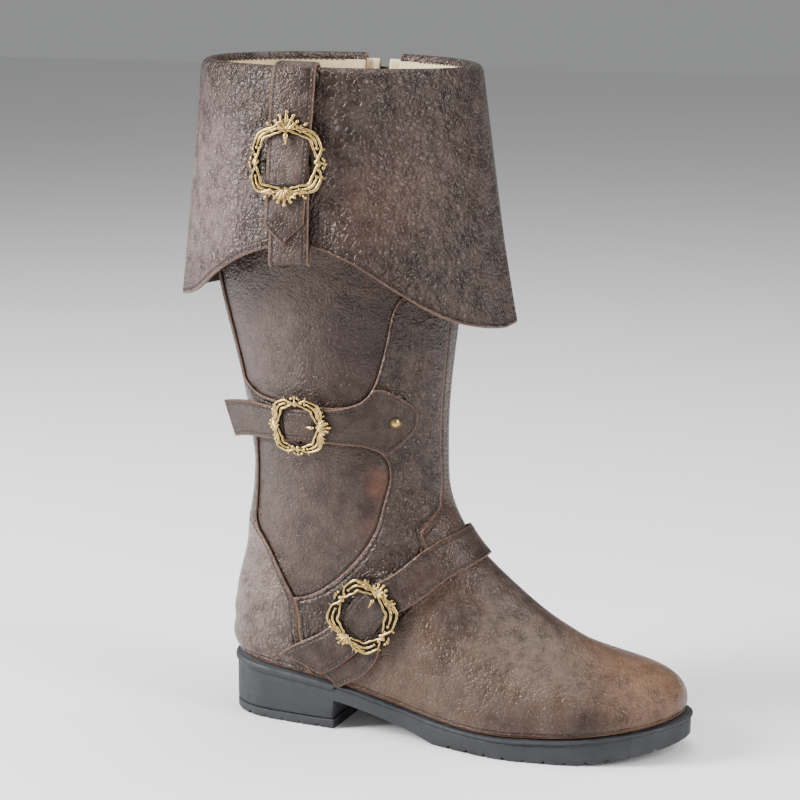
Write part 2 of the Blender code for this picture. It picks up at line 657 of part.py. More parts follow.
def trace(line):
    """A smooth line through rows of turn and row: its places, its points and the metres run so far."""
    table = np.array(line, float)
    places = spline(np.column_stack([np.arange(len(table)), table]), np.linspace(0, len(table) - 1, 240))
    points = skin(places[:, 0], places[:, 1])
    run = np.concatenate([[0], np.cumsum(np.linalg.norm(np.diff(points, axis=0), axis=1))])
    return places, points, run


def ribbon(line, run_at, across):
    """Places on the skin beside a line of turn and row: metres along it and metres to its side."""
    places, points, run = trace(line)
    turn, row = (np.interp(run_at, run, places[:, i]) for i in (0, 1))
    ahead = np.stack([np.interp(run_at, run, np.gradient(points[:, i], run)) for i in range(3)], -1)
    normal = unit(np.cross(*slopes(turn, row)))
    side = unit(np.cross(normal, ahead))
    return step(turn, row, side * np.asarray(across, float)[..., None])


def run_to(line, turn):
    """Metres along a line of turn and row to the place with the given turn, and its whole length."""
    places, _, run = trace(line)
    return float(np.interp(turn, places[:, 0], run)), float(run[-1])


COVER_TOP = COVER_CLEAR + COVER_THICK
STRAP_LOW = COVER_TOP + STRAP_CLEAR
BAR_TOP = STRAP_LOW + BAR_THICK
OVER_BAR = BAR_TOP + CLEAR


def frame_on_skin(spot, line_ahead):
    """A place-maker for a buckle: (along, across, lift) to a point, following the skin."""
    turn, row = spot
    by_turn, by_row = slopes(np.array(turn), np.array(row))
    normal = unit(np.cross(by_turn, by_row))
    ahead = line_ahead - normal * (line_ahead @ normal)
    ahead = unit(ahead)
    side = np.cross(normal, ahead)

    def place(along_strap, across_strap, lift):
        way = ahead * np.asarray(along_strap)[..., None] + side * np.asarray(across_strap)[..., None]
        t, r = step(turn + 0 * way[..., 0], row + 0 * way[..., 0], way)
        return skin(t, r, lift)

    return place


def buckle(name, place, window, outer, crest, strap_high, bar_low, where, cutters, paint):
    """A cast frame with a scalloped edge round a window, and the bar that the strap runs over.

    "place" puts (along, across, lift) in space. The window and the outer size are half sizes,
    along the strap and across it. A crest stands at each end of the frame.
    """
    n = 24
    angle = np.linspace(0, 2 * np.pi, n, endpoint=False)
    c, s = np.cos(angle), np.sin(angle)
    square = (np.abs(c) ** 8 + np.abs(s) ** 8) ** (-1 / 8)
    oval = (np.abs(c) ** 2.6 + np.abs(s) ** 2.6) ** (-1 / 2.6)
    scallop = 1 + 0.035 * np.cos(8 * angle)
    bump = 1 + crest * np.exp(-((1 - np.abs(c)) / 0.06))
    inner = np.stack([window[0] * square * c, window[1] * square * s], -1)
    rim = np.stack([outer[0] * oval * c, outer[1] * oval * s], -1) * (scallop * bump)[:, None]
    loops = []
    for share, rise in ((0.0, 0.0), (0.5, BUCKLE_CROWN), (1.0, 0.0)):
        flat = inner + (rim - inner) * share
        loops.append(place(flat[:, 0], flat[:, 1], strap_high + CLEAR + rise + 0 * flat[:, 0]))
    frame = sheet(name, np.array(loops)[::-1], BUCKLE_THICK, where, paint, closed=True)
    low = window[1] + BAR_THICK * 0.65
    reach = low + BAR_THICK * 0.9
    middle = strap_high + CLEAR + BUCKLE_THICK / 2
    across = np.array([-reach, -low, low, reach])
    lift = np.array([middle, bar_low, bar_low, middle])
    ends = np.array([0.5, -0.5]) * BAR_WIDTH
    level = 0 * ends[:, None]
    bar = place(ends[:, None] + 0 * across, across + level, lift + level)
    cut(frame, sheet(name + "_bar", bar, BAR_THICK, cutters), "UNION")
    return frame


def make_ankle(where, cutters, strap, brass):
    """The riveted yoke and its strap, which stands off straight behind the buckle."""
    table = np.array(YOKE)
    turn, share = table[:, 0], np.linspace(0, 1, 4)[:, None]
    row = table[:, 1] + (table[:, 2] - table[:, 1]) * share
    reach = np.linalg.norm(slopes(np.array(ANKLE_BUCKLE_AT[0]), np.array(ANKLE_BUCKLE_AT[1]))[0])
    ahead = (turn - ANKLE_BUCKLE_AT[0]) * reach
    hump = ease(1 - (ahead - ANKLE_FRAME[0]) / ANKLE_FRAME[0])
    lift = STRAP_LOW + (OVER_BAR - STRAP_LOW) * hump
    grid = skin(turn + 0 * row, row, lift + 0 * row)
    off = unit((grid[:, -1] - grid[:, -2]).mean(axis=0))
    length = ANKLE_TAIL - ANKLE_SKEW * (1 - share) * np.linalg.norm(grid[-1, -1] - grid[0, -1])
    tail = [grid[:, -1] + off * length * s - np.array([0, 0, TAIL_DROP * s * s]) for s in (0.4, 0.75, 1.0)]
    grid = np.concatenate([grid, np.stack(tail, axis=1)], axis=1)
    sheet("ankle_strap", grid[:, ::-1], STRAP_THICK, where, strap)

    spot = np.array(ANKLE_BUCKLE_AT)
    back = skin(spot[0] - 0.02, spot[1]) - skin(spot[0] + 0.02, spot[1])
    place = frame_on_skin(ANKLE_BUCKLE_AT, -back)
    low_row, high_row = (np.interp(spot[0], turn[::-1], table[::-1, i]) for i in (1, 2))
    half = np.linalg.norm(skin(spot[0], high_row) - skin(spot[0], low_row)) / 2
    window = (ANKLE_WINDOW, half + BUCKLE_ROOM)
    buckle("ankle_buckle", place, window, ANKLE_FRAME, 0.05, OVER_BAR + STRAP_THICK, STRAP_LOW,
           where, cutters, brass)

    spot = frame_on_skin(RIVET_AT, np.array([1.0, 0.0, 0.0]))
    angle = np.linspace(0, 2 * np.pi, 13)[:-1]
    low = STRAP_LOW + STRAP_THICK + CLEAR
    x, y = RIVET_RADIUS * np.cos(angle), RIVET_RADIUS * np.sin(angle)
    rings = [
        spot(r * x, r * y, low + h * RIVET_HEIGHT + 0 * angle)
        for r, h in ((0.95, 0.0), (1.0, 0.3), (0.75, 0.8), (0.35, 1.0))
    ]
    loft("rivet", np.array(rings), where, brass)


def make_instep(where, cutters, strap, brass):
    """Strap over the instep, the short chape that holds the buckle, and the buckle."""
    at, whole = run_to(INSTEP_LINE, INSTEP_BUCKLE_AT[0])
    reach = INSTEP_FRAME[0]
    over_bar = at + 2 * reach
    run = np.concatenate([
        np.linspace(0, at, 6)[:-1], np.linspace(at, over_bar, 5)[:-1], np.linspace(over_bar, whole, 14),
    ])
    across = np.linspace(0.5, -0.5, 4) * INSTEP_STRAP_WIDTH
    fade = np.clip(1 - run / (1.2 * INSTEP_STRAP_WIDTH), 0, 1)
    along_line = run[:, None] + INSTEP_SKEW * (INSTEP_STRAP_WIDTH / 2 - across) * fade[:, None]
    turn, row = ribbon(INSTEP_LINE, along_line, across + 0 * along_line)
    over = max(STRAP_LOW + STRAP_THICK + CLEAR, OVER_BAR)
    low = STRAP_LOW + INSTEP_ROOM
    lift = low + (over - low) * ease(1 - (run - at - reach) / reach)
    grid = skin(turn, row, lift[:, None] + 0 * turn)
    sheet("instep_strap", grid.transpose(1, 0, 2)[::-1], STRAP_THICK, where, strap)

    _, whole = run_to(CHAPE_LINE, 0.4)
    across = np.linspace(0.5, -0.5, 3) * CHAPE_WIDTH
    run = np.linspace(0, whole, 5)
    turn, row = ribbon(CHAPE_LINE, run[:, None] + 0 * across, across + 0 * run[:, None])
    grid = skin(turn, row, STRAP_LOW + 0 * turn)
    sheet("instep_chape", grid.transpose(1, 0, 2)[::-1], STRAP_THICK - CLEAR, where, strap)

    small = 0.002
    t, r = ribbon(INSTEP_LINE, np.array([at - small, at + small]), np.zeros(2))
    ends = skin(t, r)
    place = frame_on_skin(INSTEP_BUCKLE_AT, ends[1] - ends[0])
    window = (INSTEP_WINDOW, INSTEP_STRAP_WIDTH / 2 + BUCKLE_ROOM)
    buckle("instep_buckle", place, window, INSTEP_FRAME, 0.05, over + STRAP_THICK, STRAP_LOW,
           where, cutters, brass)


def cuff_face(turn, at, lift):
    """Points over the cuff's shaft-side face, "lift" away from the shaft."""
    small = 0.01
    by_turn = cuff_path(turn + small, at) - cuff_path(turn - small, at)
    by_at = cuff_path(turn, at + small) - cuff_path(turn, at - small)
    away = unit(np.cross(by_at, by_turn))
    return cuff_path(turn, at) + away * np.asarray(lift, float)[..., None]


def make_cuff_strap(where, cutters, strap, brass):
    """Strap over the cuff, the keeper that wraps the hem below it, and the buckle."""
    low = CUFF_THICK + STRAP_CLEAR
    over = low + STRAP_THICK + CLEAR
    table = np.array(CUFF_STRAP)
    at, turn, share = table[:, :1], table[:, 1:2], table[:, 2:]
    by_turn = np.linalg.norm(slopes(np.array(table[0, 1]), np.array(TOP_ROW))[0])
    across = np.linspace(-0.5, 0.5, 4) * CUFF_STRAP_WIDTH / by_turn
    grid = cuff_path(turn + across * share, at + 0 * across)
    centre = float(straight([(r[0], r[1]) for r in CUFF_STRAP], CUFF_BUCKLE_STEP))
    depth = CUFF_DEPTH * float(hem(centre))
    reach = CUFF_FRAME[0] / depth
    lift = low + (over - low) * ease(1 - (CUFF_BUCKLE_STEP - reach - table[:, 0]) / reach)
    grid = lifted(grid, -lift[:, None] + 0 * across)
    sheet("cuff_strap", grid, STRAP_THICK, where, strap, outward=False)

    inner = -2 * CLEAR
    hang = KEEPER_HANG / depth
    start = CUFF_BUCKLE_STEP + 1.5 * BAR_WIDTH / depth
    path = np.array([
        (start, low), ((start + 1) / 2, low), (1.0, low), (1.0 + hang, low), (1.0 + 1.25 * hang, low / 2),
        (1.0 + hang, inner), (1.0, inner), (1.0 - 2 * hang, inner),
    ])
    across = np.linspace(-0.5, 0.5, 4) * KEEPER_WIDTH / by_turn
    turns = KEEPER_TURN + across + 0 * path[:, :1]
    grid = cuff_face(turns, path[:, :1] + 0 * across, path[:, 1:] + 0 * across)
    sheet("cuff_keeper", grid, STRAP_THICK - CLEAR, where, strap, outward=False)

    def place(along_strap, across_strap, lift):
        turn = centre + np.asarray(across_strap) / by_turn
        return cuff_face(turn, CUFF_BUCKLE_STEP + np.asarray(along_strap) / depth, lift)

    window = (CUFF_WINDOW, CUFF_STRAP_WIDTH / 2 + BUCKLE_ROOM)
    buckle("cuff_buckle", place, window, CUFF_FRAME, 0.08, over + STRAP_THICK, low,
           where, cutters, brass)


def box(name, middle, size, axes, where, paint=None):
    """A box about a middle point, its sides along three axes."""
    points = [
        middle + (i * axes[0] * size[0] + j * axes[1] * size[1] + k * axes[2] * size[2]) / 2
        for i in (-1, 1) for j in (-1, 1) for k in (-1, 1)
    ]
    faces = [(0, 1, 3, 2), (4, 6, 7, 5), (0, 4, 5, 1), (2, 3, 7, 6), (0, 2, 6, 4), (1, 5, 7, 3)]
    return solid(name, points, faces, where, paint)


def round_bar(name, middle, radius, length, where, paint=None):
    """A round bar along X."""
    angle = np.linspace(0, 2 * np.pi, 13)[:-1]
    rings = [
        np.stack([middle[0] + end * length / 2 + 0 * angle, middle[1] + radius * np.cos(angle),
                  middle[2] + radius * np.sin(angle)], -1)
        for end in (-1, 1)
    ]
    return loft(name, np.array(rings), where, paint)


def make_zip(where, cutters, tape, metal):
    """Tape and chain in the slot of the inner side, slider at the top, and its pull tab."""
    at = np.linspace(ZIP_LINE[0][0] - 0.25, TOP_ROW - 0.12, 9)
    turn = straight(ZIP_LINE, at)[:, None]
    by_turn = np.linalg.norm(slopes(turn, at[:, None])[0], axis=-1)
    across = np.linspace(-0.5, 0.5, 3) / by_turn
    row = at[:, None] + 0 * across
    low = -(WALL + ZIP_TAPE_CLEAR)
    grid = skin(turn + across * ZIP_TAPE_WIDTH, row, low)
    sheet("zip_tape", grid, ZIP_TAPE_THICK, where, tape, outward=False)
    at = np.linspace(ZIP_LINE[0][0] + 0.1, TOP_ROW - 0.12, 9)
    turn = straight(ZIP_LINE, at)[:, None]
    by_turn = np.linalg.norm(slopes(turn, at[:, None])[0], axis=-1)
    across = np.linspace(-0.5, 0.5, 3) / by_turn
    chain = skin(turn + across * ZIP_CHAIN_WIDTH, at[:, None] + 0 * across, low + CLEAR)
    sheet("zip_chain", chain, -low - CLEAR, where, metal)

    turn, row = np.array(straight(ZIP_LINE, SLIDER_ROW)), np.array(SLIDER_ROW)
    by_row = slopes(turn, row)[1]
    x_axis = np.array([1.0, 0.0, 0.0])
    up = unit(by_row * np.array([0.0, 1.0, 1.0]))
    normal = np.cross(up, x_axis)
    foot = skin(turn, row)
    plate = foot + normal * (SLIDER_LIFT + SLIDER_THICK / 2)
    axes = (x_axis, normal, up)
    size = (SLIDER_WIDTH, SLIDER_THICK, SLIDER_LENGTH)
    slider = box("zip_slider", plate, size, axes, where, metal)
    pin = foot + normal * PIN_LIFT
    stand = EYE_WIDTH / 2 + CLEAR + POST_THICK / 2
    post_low = SLIDER_LIFT + SLIDER_THICK / 2
    post_high = PIN_LIFT + 1.6 * PIN_RADIUS
    for i, side in enumerate((-1, 1)):
        middle = foot + normal * (post_low + post_high) / 2 + x_axis * side * stand
        size = (POST_THICK, post_high - post_low, 4 * PIN_RADIUS)
        post = box(f"slider_post_{i}", middle, size, axes, cutters)
        cut(slider, post, "UNION")
    cut(slider, round_bar("slider_pin", pin, PIN_RADIUS, 2 * stand, cutters), "UNION")

    eye = round_bar("zip_pull", pin, EYE_RADIUS, EYE_WIDTH, where, metal)
    y_axis, z_axis = np.array([0.0, 1.0, 0.0]), np.array([0.0, 0.0, 1.0])
    start = PIN_RADIUS + 2 * CLEAR
    neck = EYE_RADIUS + CLEAR
    upright = (x_axis, y_axis, z_axis)
    stem = pin - z_axis * (start + neck) / 2
    cut(eye, box("pull_neck", stem, (EYE_WIDTH, PULL_THICK, neck), upright, cutters), "UNION")
    length = PULL_LENGTH - neck
    tab = pin - z_axis * (neck + length / 2)
    plate = box("pull_plate", tab, (PULL_WIDTH, PULL_THICK, length), upright, cutters)
    cut(eye, plate, "UNION")
    cut(eye, round_bar("pull_hole", pin, PIN_RADIUS + CLEAR, 2 * EYE_WIDTH, cutters))


def main():
    for old in list(bpy.data.objects):
        bpy.data.objects.remove(old, do_unlink=True)
    where = bpy.data.collections.new("cuffed_buckle_boot")
    cutters = bpy.data.collections.new("cutters")
    for c in (where, cutters):
        bpy.context.scene.collection.children.link(c)

    leather = dict(
        upper=material("upper_leather", (0.085, 0.062, 0.052), 0.5),
        counter=material("counter_leather", (0.095, 0.068, 0.055), 0.5),
        vamp=material("vamp_leather", (0.105, 0.070, 0.052), 0.48),
        shaft_overlay=material("overlay_leather", (0.090, 0.066, 0.056), 0.5),
        cuff=material("cuff_leather", (0.080, 0.060, 0.052), 0.5),
        insole=material("insole_lining", (0.62, 0.52, 0.36), 0.85),
        outsole=material("sole_rubber", (0.055, 0.058, 0.066), 0.7),
        heel_lift=material("lift_rubber", (0.045, 0.047, 0.053), 0.75),
    )
    strap = material("strap_leather", (0.100, 0.072, 0.058), 0.5)
    brass = material("antique_brass", (0.36, 0.27, 0.14), 0.38, 1.0)
    tape = material("zip_fabric", (0.03, 0.027, 0.025), 0.85)
    metal = material("zip_metal", (0.22, 0.18, 0.12), 0.35, 1.0)
    slot = make_upper(where, cutters, leather["upper"])
    make_covers(where, cutters, slot, leather)
    make_sole(where, cutters, leather)
    make_insole(where, leather["insole"])
    make_cuff(where, leather["cuff"])
    make_cuff_strap(where, cutters, strap, brass)
    make_ankle(where, cutters, strap, brass)
    make_instep(where, cutters, strap, brass)
    make_zip(where, cutters, tape, metal)
    for cutter in cutters.objects:
        cutter.hide_render = True
        cutter.display_type = "WIRE"


main()
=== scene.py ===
# %% [markdown]
# # A tall boot with a turned-down cuff and three scroll buckles
#
# This lesson dresses a finished frame of plain solids as a worn brown leather boot for the right
# foot. The frame already has every piece at its real size. Here each piece is worked out again as
# a fine surface, with its cut edges, stitches, creases, grain and cast metal.
#
# The origin is on the floor under the middle of the heel. X runs to the toe, Z up, and the outer
# side of the foot is at -Y. All lengths are in metres.

import bpy
import numpy as np
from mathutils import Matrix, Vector
from mathutils.geometry import delaunay_2d_cdt


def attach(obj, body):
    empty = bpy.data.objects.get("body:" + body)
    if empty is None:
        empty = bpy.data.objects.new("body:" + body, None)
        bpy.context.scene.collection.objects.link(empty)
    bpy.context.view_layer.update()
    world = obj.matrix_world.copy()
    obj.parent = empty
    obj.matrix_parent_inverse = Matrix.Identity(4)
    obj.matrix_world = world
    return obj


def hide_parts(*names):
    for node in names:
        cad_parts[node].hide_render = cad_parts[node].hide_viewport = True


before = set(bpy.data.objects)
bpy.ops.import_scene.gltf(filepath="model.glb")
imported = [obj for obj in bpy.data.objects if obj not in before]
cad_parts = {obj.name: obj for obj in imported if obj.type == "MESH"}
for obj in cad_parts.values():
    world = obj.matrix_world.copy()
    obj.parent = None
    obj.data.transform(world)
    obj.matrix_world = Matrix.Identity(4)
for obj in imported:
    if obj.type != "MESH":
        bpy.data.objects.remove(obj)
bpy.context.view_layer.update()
print("pieces in the frame:", len(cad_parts))

# %% [markdown]
# ## Sizes
#
# A boot is described by a few real sizes, the thickness of its leathers, and short tables of
# sections. Keeping them by name means that each later surface follows from the same numbers.

# %% Named sizes

# Foot and shaft
FOOT_LENGTH = 0.300
HEEL_WIDTH = 0.0654
WAIST_WIDTH = 0.0612
BALL_WIDTH = 0.1055
ANKLE_HEIGHT = 0.150
SHAFT_HEIGHT = 0.4158
SHAFT_DEPTH = 0.171
SHAFT_WIDTH = 0.145
WAIST_SWING = 0.0065
TOE_SWING = 0.0055
HEEL_CENTRE = 0.133  # share of the foot length from the heel's back to the origin

# Leather
WALL = 0.0022
COVER_THICK = 0.0013
COVER_CLEAR = 0.0004
STRAP_THICK = 0.0016
CLEAR = 0.0003
STRAP_CLEAR = 0.0012

# Sole
HEEL_SEAT = 0.0393
HEEL_LENGTH = 0.080
LIFT_THICK = 0.006
SHANK_RISE = 0.0183
TOE_SPRING = 0.0107
SOLE_LIP = 0.0012
LUG_DEPTH = 0.0016
LUG_GROOVE = 0.0024
LUG_PITCH = 0.0125
INSOLE_THICK = 0.003

# Cuff
CUFF_DEPTH = 0.155
CUFF_THICK = 0.002
CUFF_FLARE = 0.0178
CUFF_SHIFT = 0.002
CUFF_LIP = 0.010
CUFF_CROWN = 0.0022
CUFF_SPLIT_TOP = 0.0125
CUFF_SPLIT_HEM = 0.018

# Straps and buckles
CUFF_STRAP_WIDTH = 0.026
INSTEP_STRAP_WIDTH = 0.0235
CHAPE_WIDTH = 0.016
INSTEP_ROOM = 0.0009
KEEPER_WIDTH = 0.0216
KEEPER_HANG = 0.008
# how far a tail's end runs along the strap for each unit across it
INSTEP_SKEW = 0.85
ANKLE_SKEW = 0.32
ANKLE_TAIL = 0.034
TAIL_DROP = 0.003
BUCKLE_ROOM = 0.0006
BAR_WIDTH = 0.0018
BAR_THICK = 0.0014
RIVET_RADIUS = 0.0033
RIVET_HEIGHT = 0.0018
# outer half sizes of the three frames, along the strap and across it
CUFF_FRAME = (0.0293, 0.0215)
ANKLE_FRAME = (0.0212, 0.0183)
INSTEP_FRAME = (0.025, 0.023)
# half lengths of their windows
CUFF_WINDOW = 0.0135
ANKLE_WINDOW = 0.0095
INSTEP_WINDOW = 0.01275

# Zip
ZIP_SLOT = 0.0070
ZIP_CHAIN_WIDTH = 0.0052
ZIP_TAPE_WIDTH = 0.022
ZIP_TAPE_THICK = 0.0008
ZIP_TAPE_CLEAR = 0.0009
SLIDER_ROW = 15.8
SLIDER_LIFT = 0.0009
PIN_LIFT = 0.0050
POST_THICK = 0.0012
SLIDER_WIDTH = 0.0088
SLIDER_LENGTH = 0.0125
SLIDER_THICK = 0.0015
PULL_WIDTH = 0.0070
PULL_LENGTH = 0.026
PULL_THICK = 0.0014
PIN_RADIUS = 0.0008
EYE_RADIUS = 0.0022
EYE_WIDTH = 0.0030
print("foot length:", FOOT_LENGTH, "height:", SHAFT_HEIGHT)


# %% [markdown]
# ## The skin of the boot
#
# A boot is sewn from flat leather and pulled over a last, so one smooth form runs under all of
# its pieces. That form is a function here: "turn" goes round the boot, 0 at the back and 1 on the
# front ridge, and "row" climbs from 0 at the sole to 16 at the collar. A natural cubic curve
# through the section tables gives each ring, which needs no sculpting and is the same for the
# leather, its seams and its straps.

# %% Section tables

COLUMNS = (
    "back_x back_z front_x front_z heel waist ball back_cap toe_cap toe_power follow swing toe"
).split()
# x in shares of the foot length, z of the ankle height, heel, waist and ball of their widths
FOOT_ROWS = [
    (0.013, 0.260, 0.980, 0.170, 0.95, 0.95, 0.95, 0.12, 0.27, 2.1, 1.00, 0.92, 0.91),
    (-0.003, 0.327, 0.985, 0.220, 0.99, 1.00, 0.97, 0.12, 0.26, 2.1, 1.00, 0.92, 0.91),
    (0.001, 0.387, 0.971, 0.289, 1.02, 1.03, 0.95, 0.13, 0.27, 2.0, 0.85, 0.92, 0.91),
    (0.000, 0.447, 0.924, 0.341, 1.03, 1.05, 0.90, 0.14, 0.30, 2.0, 0.65, 0.77, 0.91),
    (0.005, 0.500, 0.846, 0.387, 1.02, 1.06, 0.83, 0.15, 0.36, 1.9, 0.45, 0.62, 0.73),
    (0.009, 0.553, 0.762, 0.449, 1.02, 1.08, 0.77, 0.17, 0.43, 1.9, 0.28, 0.46, 0.55),
    (0.015, 0.613, 0.683, 0.539, 1.02, 1.10, 0.72, 0.22, 0.48, 1.9, 0.15, 0.31, 0.36),
    (0.024, 0.680, 0.607, 0.652, 1.07, 1.14, 0.70, 0.30, 0.50, 1.9, 0.06, 0.15, 0.18),
    (0.031, 0.753, 0.545, 0.758, 1.15, 1.23, 0.71, 0.40, 0.50, 2.0, 0.02, 0.00, 0.00),
    (0.036, 0.840, 0.501, 0.873, 1.24, 1.32, 0.76, 0.46, 0.50, 2.0, 0.00, 0.00, 0.00),
]
# centre in shares of the foot length, rises of the height from ankle to collar, and the
# depth and width of the shaft's own
SHAFT_COLUMNS = "centre rise_back rise_front depth width".split()
SHAFT_ROWS = [
    (0.260, -0.030, -0.003, 0.749, 0.600),
    (0.259, 0.056, 0.082, 0.725, 0.634),
    (0.254, 0.188, 0.203, 0.747, 0.669),
    (0.244, 0.357, 0.364, 0.833, 0.717),
    (0.234, 0.563, 0.563, 0.932, 0.807),
    (0.233, 0.788, 0.781, 0.947, 0.917),
    (0.242, 1.000, 0.988, 1.000, 1.000),
]
# Height of the seat that the upper stands on, in shares of the foot length and the heel seat
SEAT_PROFILE = [
    (0.00, 1.000), (0.13, 0.910), (0.267, 0.776), (0.467, 0.445),
    (0.633, 0.361), (0.767, 0.410), (1.00, 0.636),
]
# Edge of each cover: row, and the turn where it ends on the outer side
VAMP_EDGE = [
    (0.0, 0.345), (2.0, 0.385), (4.0, 0.450), (5.15, 0.500), (6.5, 0.600), (7.5, 0.690),
    (8.45, 0.769), (9.04, 0.781), (9.74, 0.915), (10.5, 0.962), (11.5, 0.960), (12.5, 0.957),
    (13.2, 0.950), (15.0, 0.945),
]
COUNTER_EDGE = [
    (0.0, 0.300), (2.5, 0.294), (5.5, 0.322), (7.16, 0.296), (8.46, 0.254), (9.02, 0.190), (9.4, 0.080),
]
# Outlines of the shaft windows: turn and row
UPPER_WINDOW = [
    (0.172, 12.46), (0.25, 12.33), (0.36, 12.25), (0.48, 12.21), (0.593, 12.21), (0.638, 12.28),
    (0.679, 12.50), (0.706, 12.88), (0.719, 13.13), (0.733, 13.45), (0.753, 13.60), (0.789, 13.66),
    (0.90, 13.70), (0.905, 14.6), (0.80, 14.85), (0.50, 14.90), (0.25, 14.85), (0.165, 14.7), (0.165, 13.5),
]
LOWER_WINDOW = [
    (0.20, 11.62), (0.36, 11.61), (0.526, 11.60), (0.663, 11.50), (0.712, 11.28), (0.726, 11.0),
    (0.722, 10.70), (0.703, 10.27), (0.667, 9.55), (0.607, 8.71), (0.535, 7.87), (0.462, 6.98),
    (0.40, 6.22), (0.318, 5.45), (0.280, 7.10), (0.230, 8.50), (0.195, 9.30), (0.181, 10.05), (0.178, 10.9),
]
INNER_WINDOW = [
    (1.50, 7.0), (1.62, 7.6), (1.655, 8.8), (1.66, 10.5), (1.655, 12.5), (1.64, 14.4), (1.60, 14.85),
    (1.50, 14.95), (1.40, 14.85), (1.36, 14.4), (1.345, 12.5), (1.34, 10.5), (1.345, 9.0), (1.40, 7.7),
]
ZIP_TURN = 1.5
ZIP_LINE = [
    (7.3, ZIP_TURN + 0.052), (8.0, ZIP_TURN + 0.030), (9.0, ZIP_TURN + 0.010), (10.0, ZIP_TURN),
    (16.0, ZIP_TURN),
]
COVER_END = 15.4

# Drop of the cuff's hem round the boot, in shares of the cuff's depth
HEM = [
    (0.0, 0.935), (0.13, 0.920), (0.29, 0.832), (0.379, 0.723), (0.454, 0.665), (0.52, 0.645),
    (0.618, 0.697), (0.707, 0.805), (0.801, 0.910), (0.926, 0.981), (1.0, 1.000),
]

# Yoke and strap at the ankle: turn, and the rows of the lower and upper edge
YOKE = [
    (0.824, 11.92, 12.05), (0.811, 11.78, 12.17), (0.789, 11.65, 12.26), (0.763, 11.55, 12.34),
    (0.735, 11.44, 12.42), (0.714, 11.34, 12.46), (0.696, 11.42, 12.48), (0.678, 11.48, 12.48),
    (0.655, 11.53, 12.36), (0.638, 11.56, 12.29), (0.593, 11.60, 12.22), (0.54, 11.63, 12.19),
    (0.50, 11.65, 12.18), (0.46, 11.66, 12.18), (0.43, 11.66, 12.18), (0.40, 11.66, 12.18),
    (0.36, 11.65, 12.19), (0.31, 11.64, 12.20), (0.27, 11.63, 12.21),
]
RIVET_AT = (0.746, 11.95)
ANKLE_BUCKLE_AT = (0.447, 11.92)
# Middle line of the strap over the instep, from the tail to the inner side: turn and row
INSTEP_LINE = [
    (0.270, 0.30), (0.345, 2.15), (0.476, 5.34), (0.590, 6.65), (0.735, 7.72), (0.870, 8.18), (1.000, 8.30),
    (1.130, 8.18), (1.265, 7.72), (1.400, 6.65), (1.500, 5.00), (1.575, 2.60), (1.600, 0.35),
]
INSTEP_BUCKLE_AT = (0.476, 5.34)
CHAPE_LINE = [(0.343, 0.25), (0.383, 1.60), (0.418, 2.85), (0.441, 3.85)]
# Strap over the cuff: step down the cuff, turn of the middle line, share of the full width
CUFF_STRAP = [
    (-0.8, 0.508, 1.0), (-0.02, 0.508, 1.0), (0.0, 0.508, 1.0), (0.002, 0.508, 1.0), (0.10, 0.507, 1.0),
    (0.22, 0.506, 0.98), (0.34, 0.504, 0.95), (0.46, 0.502, 0.92), (0.58, 0.500, 0.89), (0.70, 0.499, 0.86),
    (0.80, 0.498, 0.84), (0.87, 0.497, 0.82), (0.92, 0.497, 0.58), (0.96, 0.496, 0.30), (0.99, 0.496, 0.08),
]
CUFF_BUCKLE_STEP = 0.506
KEEPER_TURN = 0.505

# %% The skin as a function
def spline(points, at):
    """Natural cubic curve through rows of a table, its first column the place, read at "at"."""
    table = np.array(points, float)
    x, y = table[:, 0], table[:, 1:]
    n, h = len(x), np.diff(x)
    system = np.eye(n)
    right = np.zeros_like(y)
    for i in range(1, n - 1):
        system[i, i - 1 : i + 2] = h[i - 1], 2 * (h[i - 1] + h[i]), h[i]
        right[i] = 6 * ((y[i + 1] - y[i]) / h[i] - (y[i] - y[i - 1]) / h[i - 1])
    bend = np.linalg.solve(system, right)
    at = np.asarray(at, float)
    k = np.clip(np.searchsorted(x, at) - 1, 0, n - 2)
    a = ((x[k + 1] - at) / h[k])[..., None]
    b = 1 - a
    step = h[k][..., None] ** 2 / 6
    return a * y[k] + b * y[k + 1] + ((a**3 - a) * bend[k] + (b**3 - b) * bend[k + 1]) * step


def straight(points, at):
    """Value between the rows of a two-column table, joined by straight lines."""
    table = np.array(points, float)
    return np.interp(at, table[:, 0], table[:, 1])


def along(share):
    """X of a place given as a share of the foot length from the heel's back."""
    return (share - HEEL_CENTRE) * FOOT_LENGTH


def seat(x):
    """Height of the sole's top at x."""
    share = np.clip(x / FOOT_LENGTH + HEEL_CENTRE, 0, 1)
    return spline(SEAT_PROFILE, share)[..., 0] * HEEL_SEAT


def sections():
    """The section table in metres, one row for each row of the skin."""
    rise = SHAFT_HEIGHT - ANKLE_HEIGHT
    rows = []
    for r in FOOT_ROWS:
        v = dict(zip(COLUMNS, r))
        rows.append((
            along(v["back_x"]), v["back_z"] * ANKLE_HEIGHT,
            along(v["front_x"]), v["front_z"] * ANKLE_HEIGHT,
            v["heel"] * HEEL_WIDTH, v["waist"] * WAIST_WIDTH, v["ball"] * BALL_WIDTH,
            v["back_cap"], v["toe_cap"], v["toe_power"], v["follow"],
            v["swing"] * WAIST_SWING, v["toe"] * TOE_SWING,
        ))
    for r in SHAFT_ROWS:
        v = dict(zip(SHAFT_COLUMNS, r))
        middle, half = along(v["centre"]), v["depth"] * SHAFT_DEPTH / 2
        width = v["width"] * SHAFT_WIDTH
        rows.append((
            middle - half, ANKLE_HEIGHT + v["rise_back"] * rise, middle + half,
            ANKLE_HEIGHT + v["rise_front"] * rise, width, width, width, 0.5, 0.5, 2.0, 0.0, 0.0, 0.0,
        ))
    return [(i, *row) for i, row in enumerate(rows)]


SECTIONS = sections()
TOP_ROW = len(SECTIONS) - 1.0


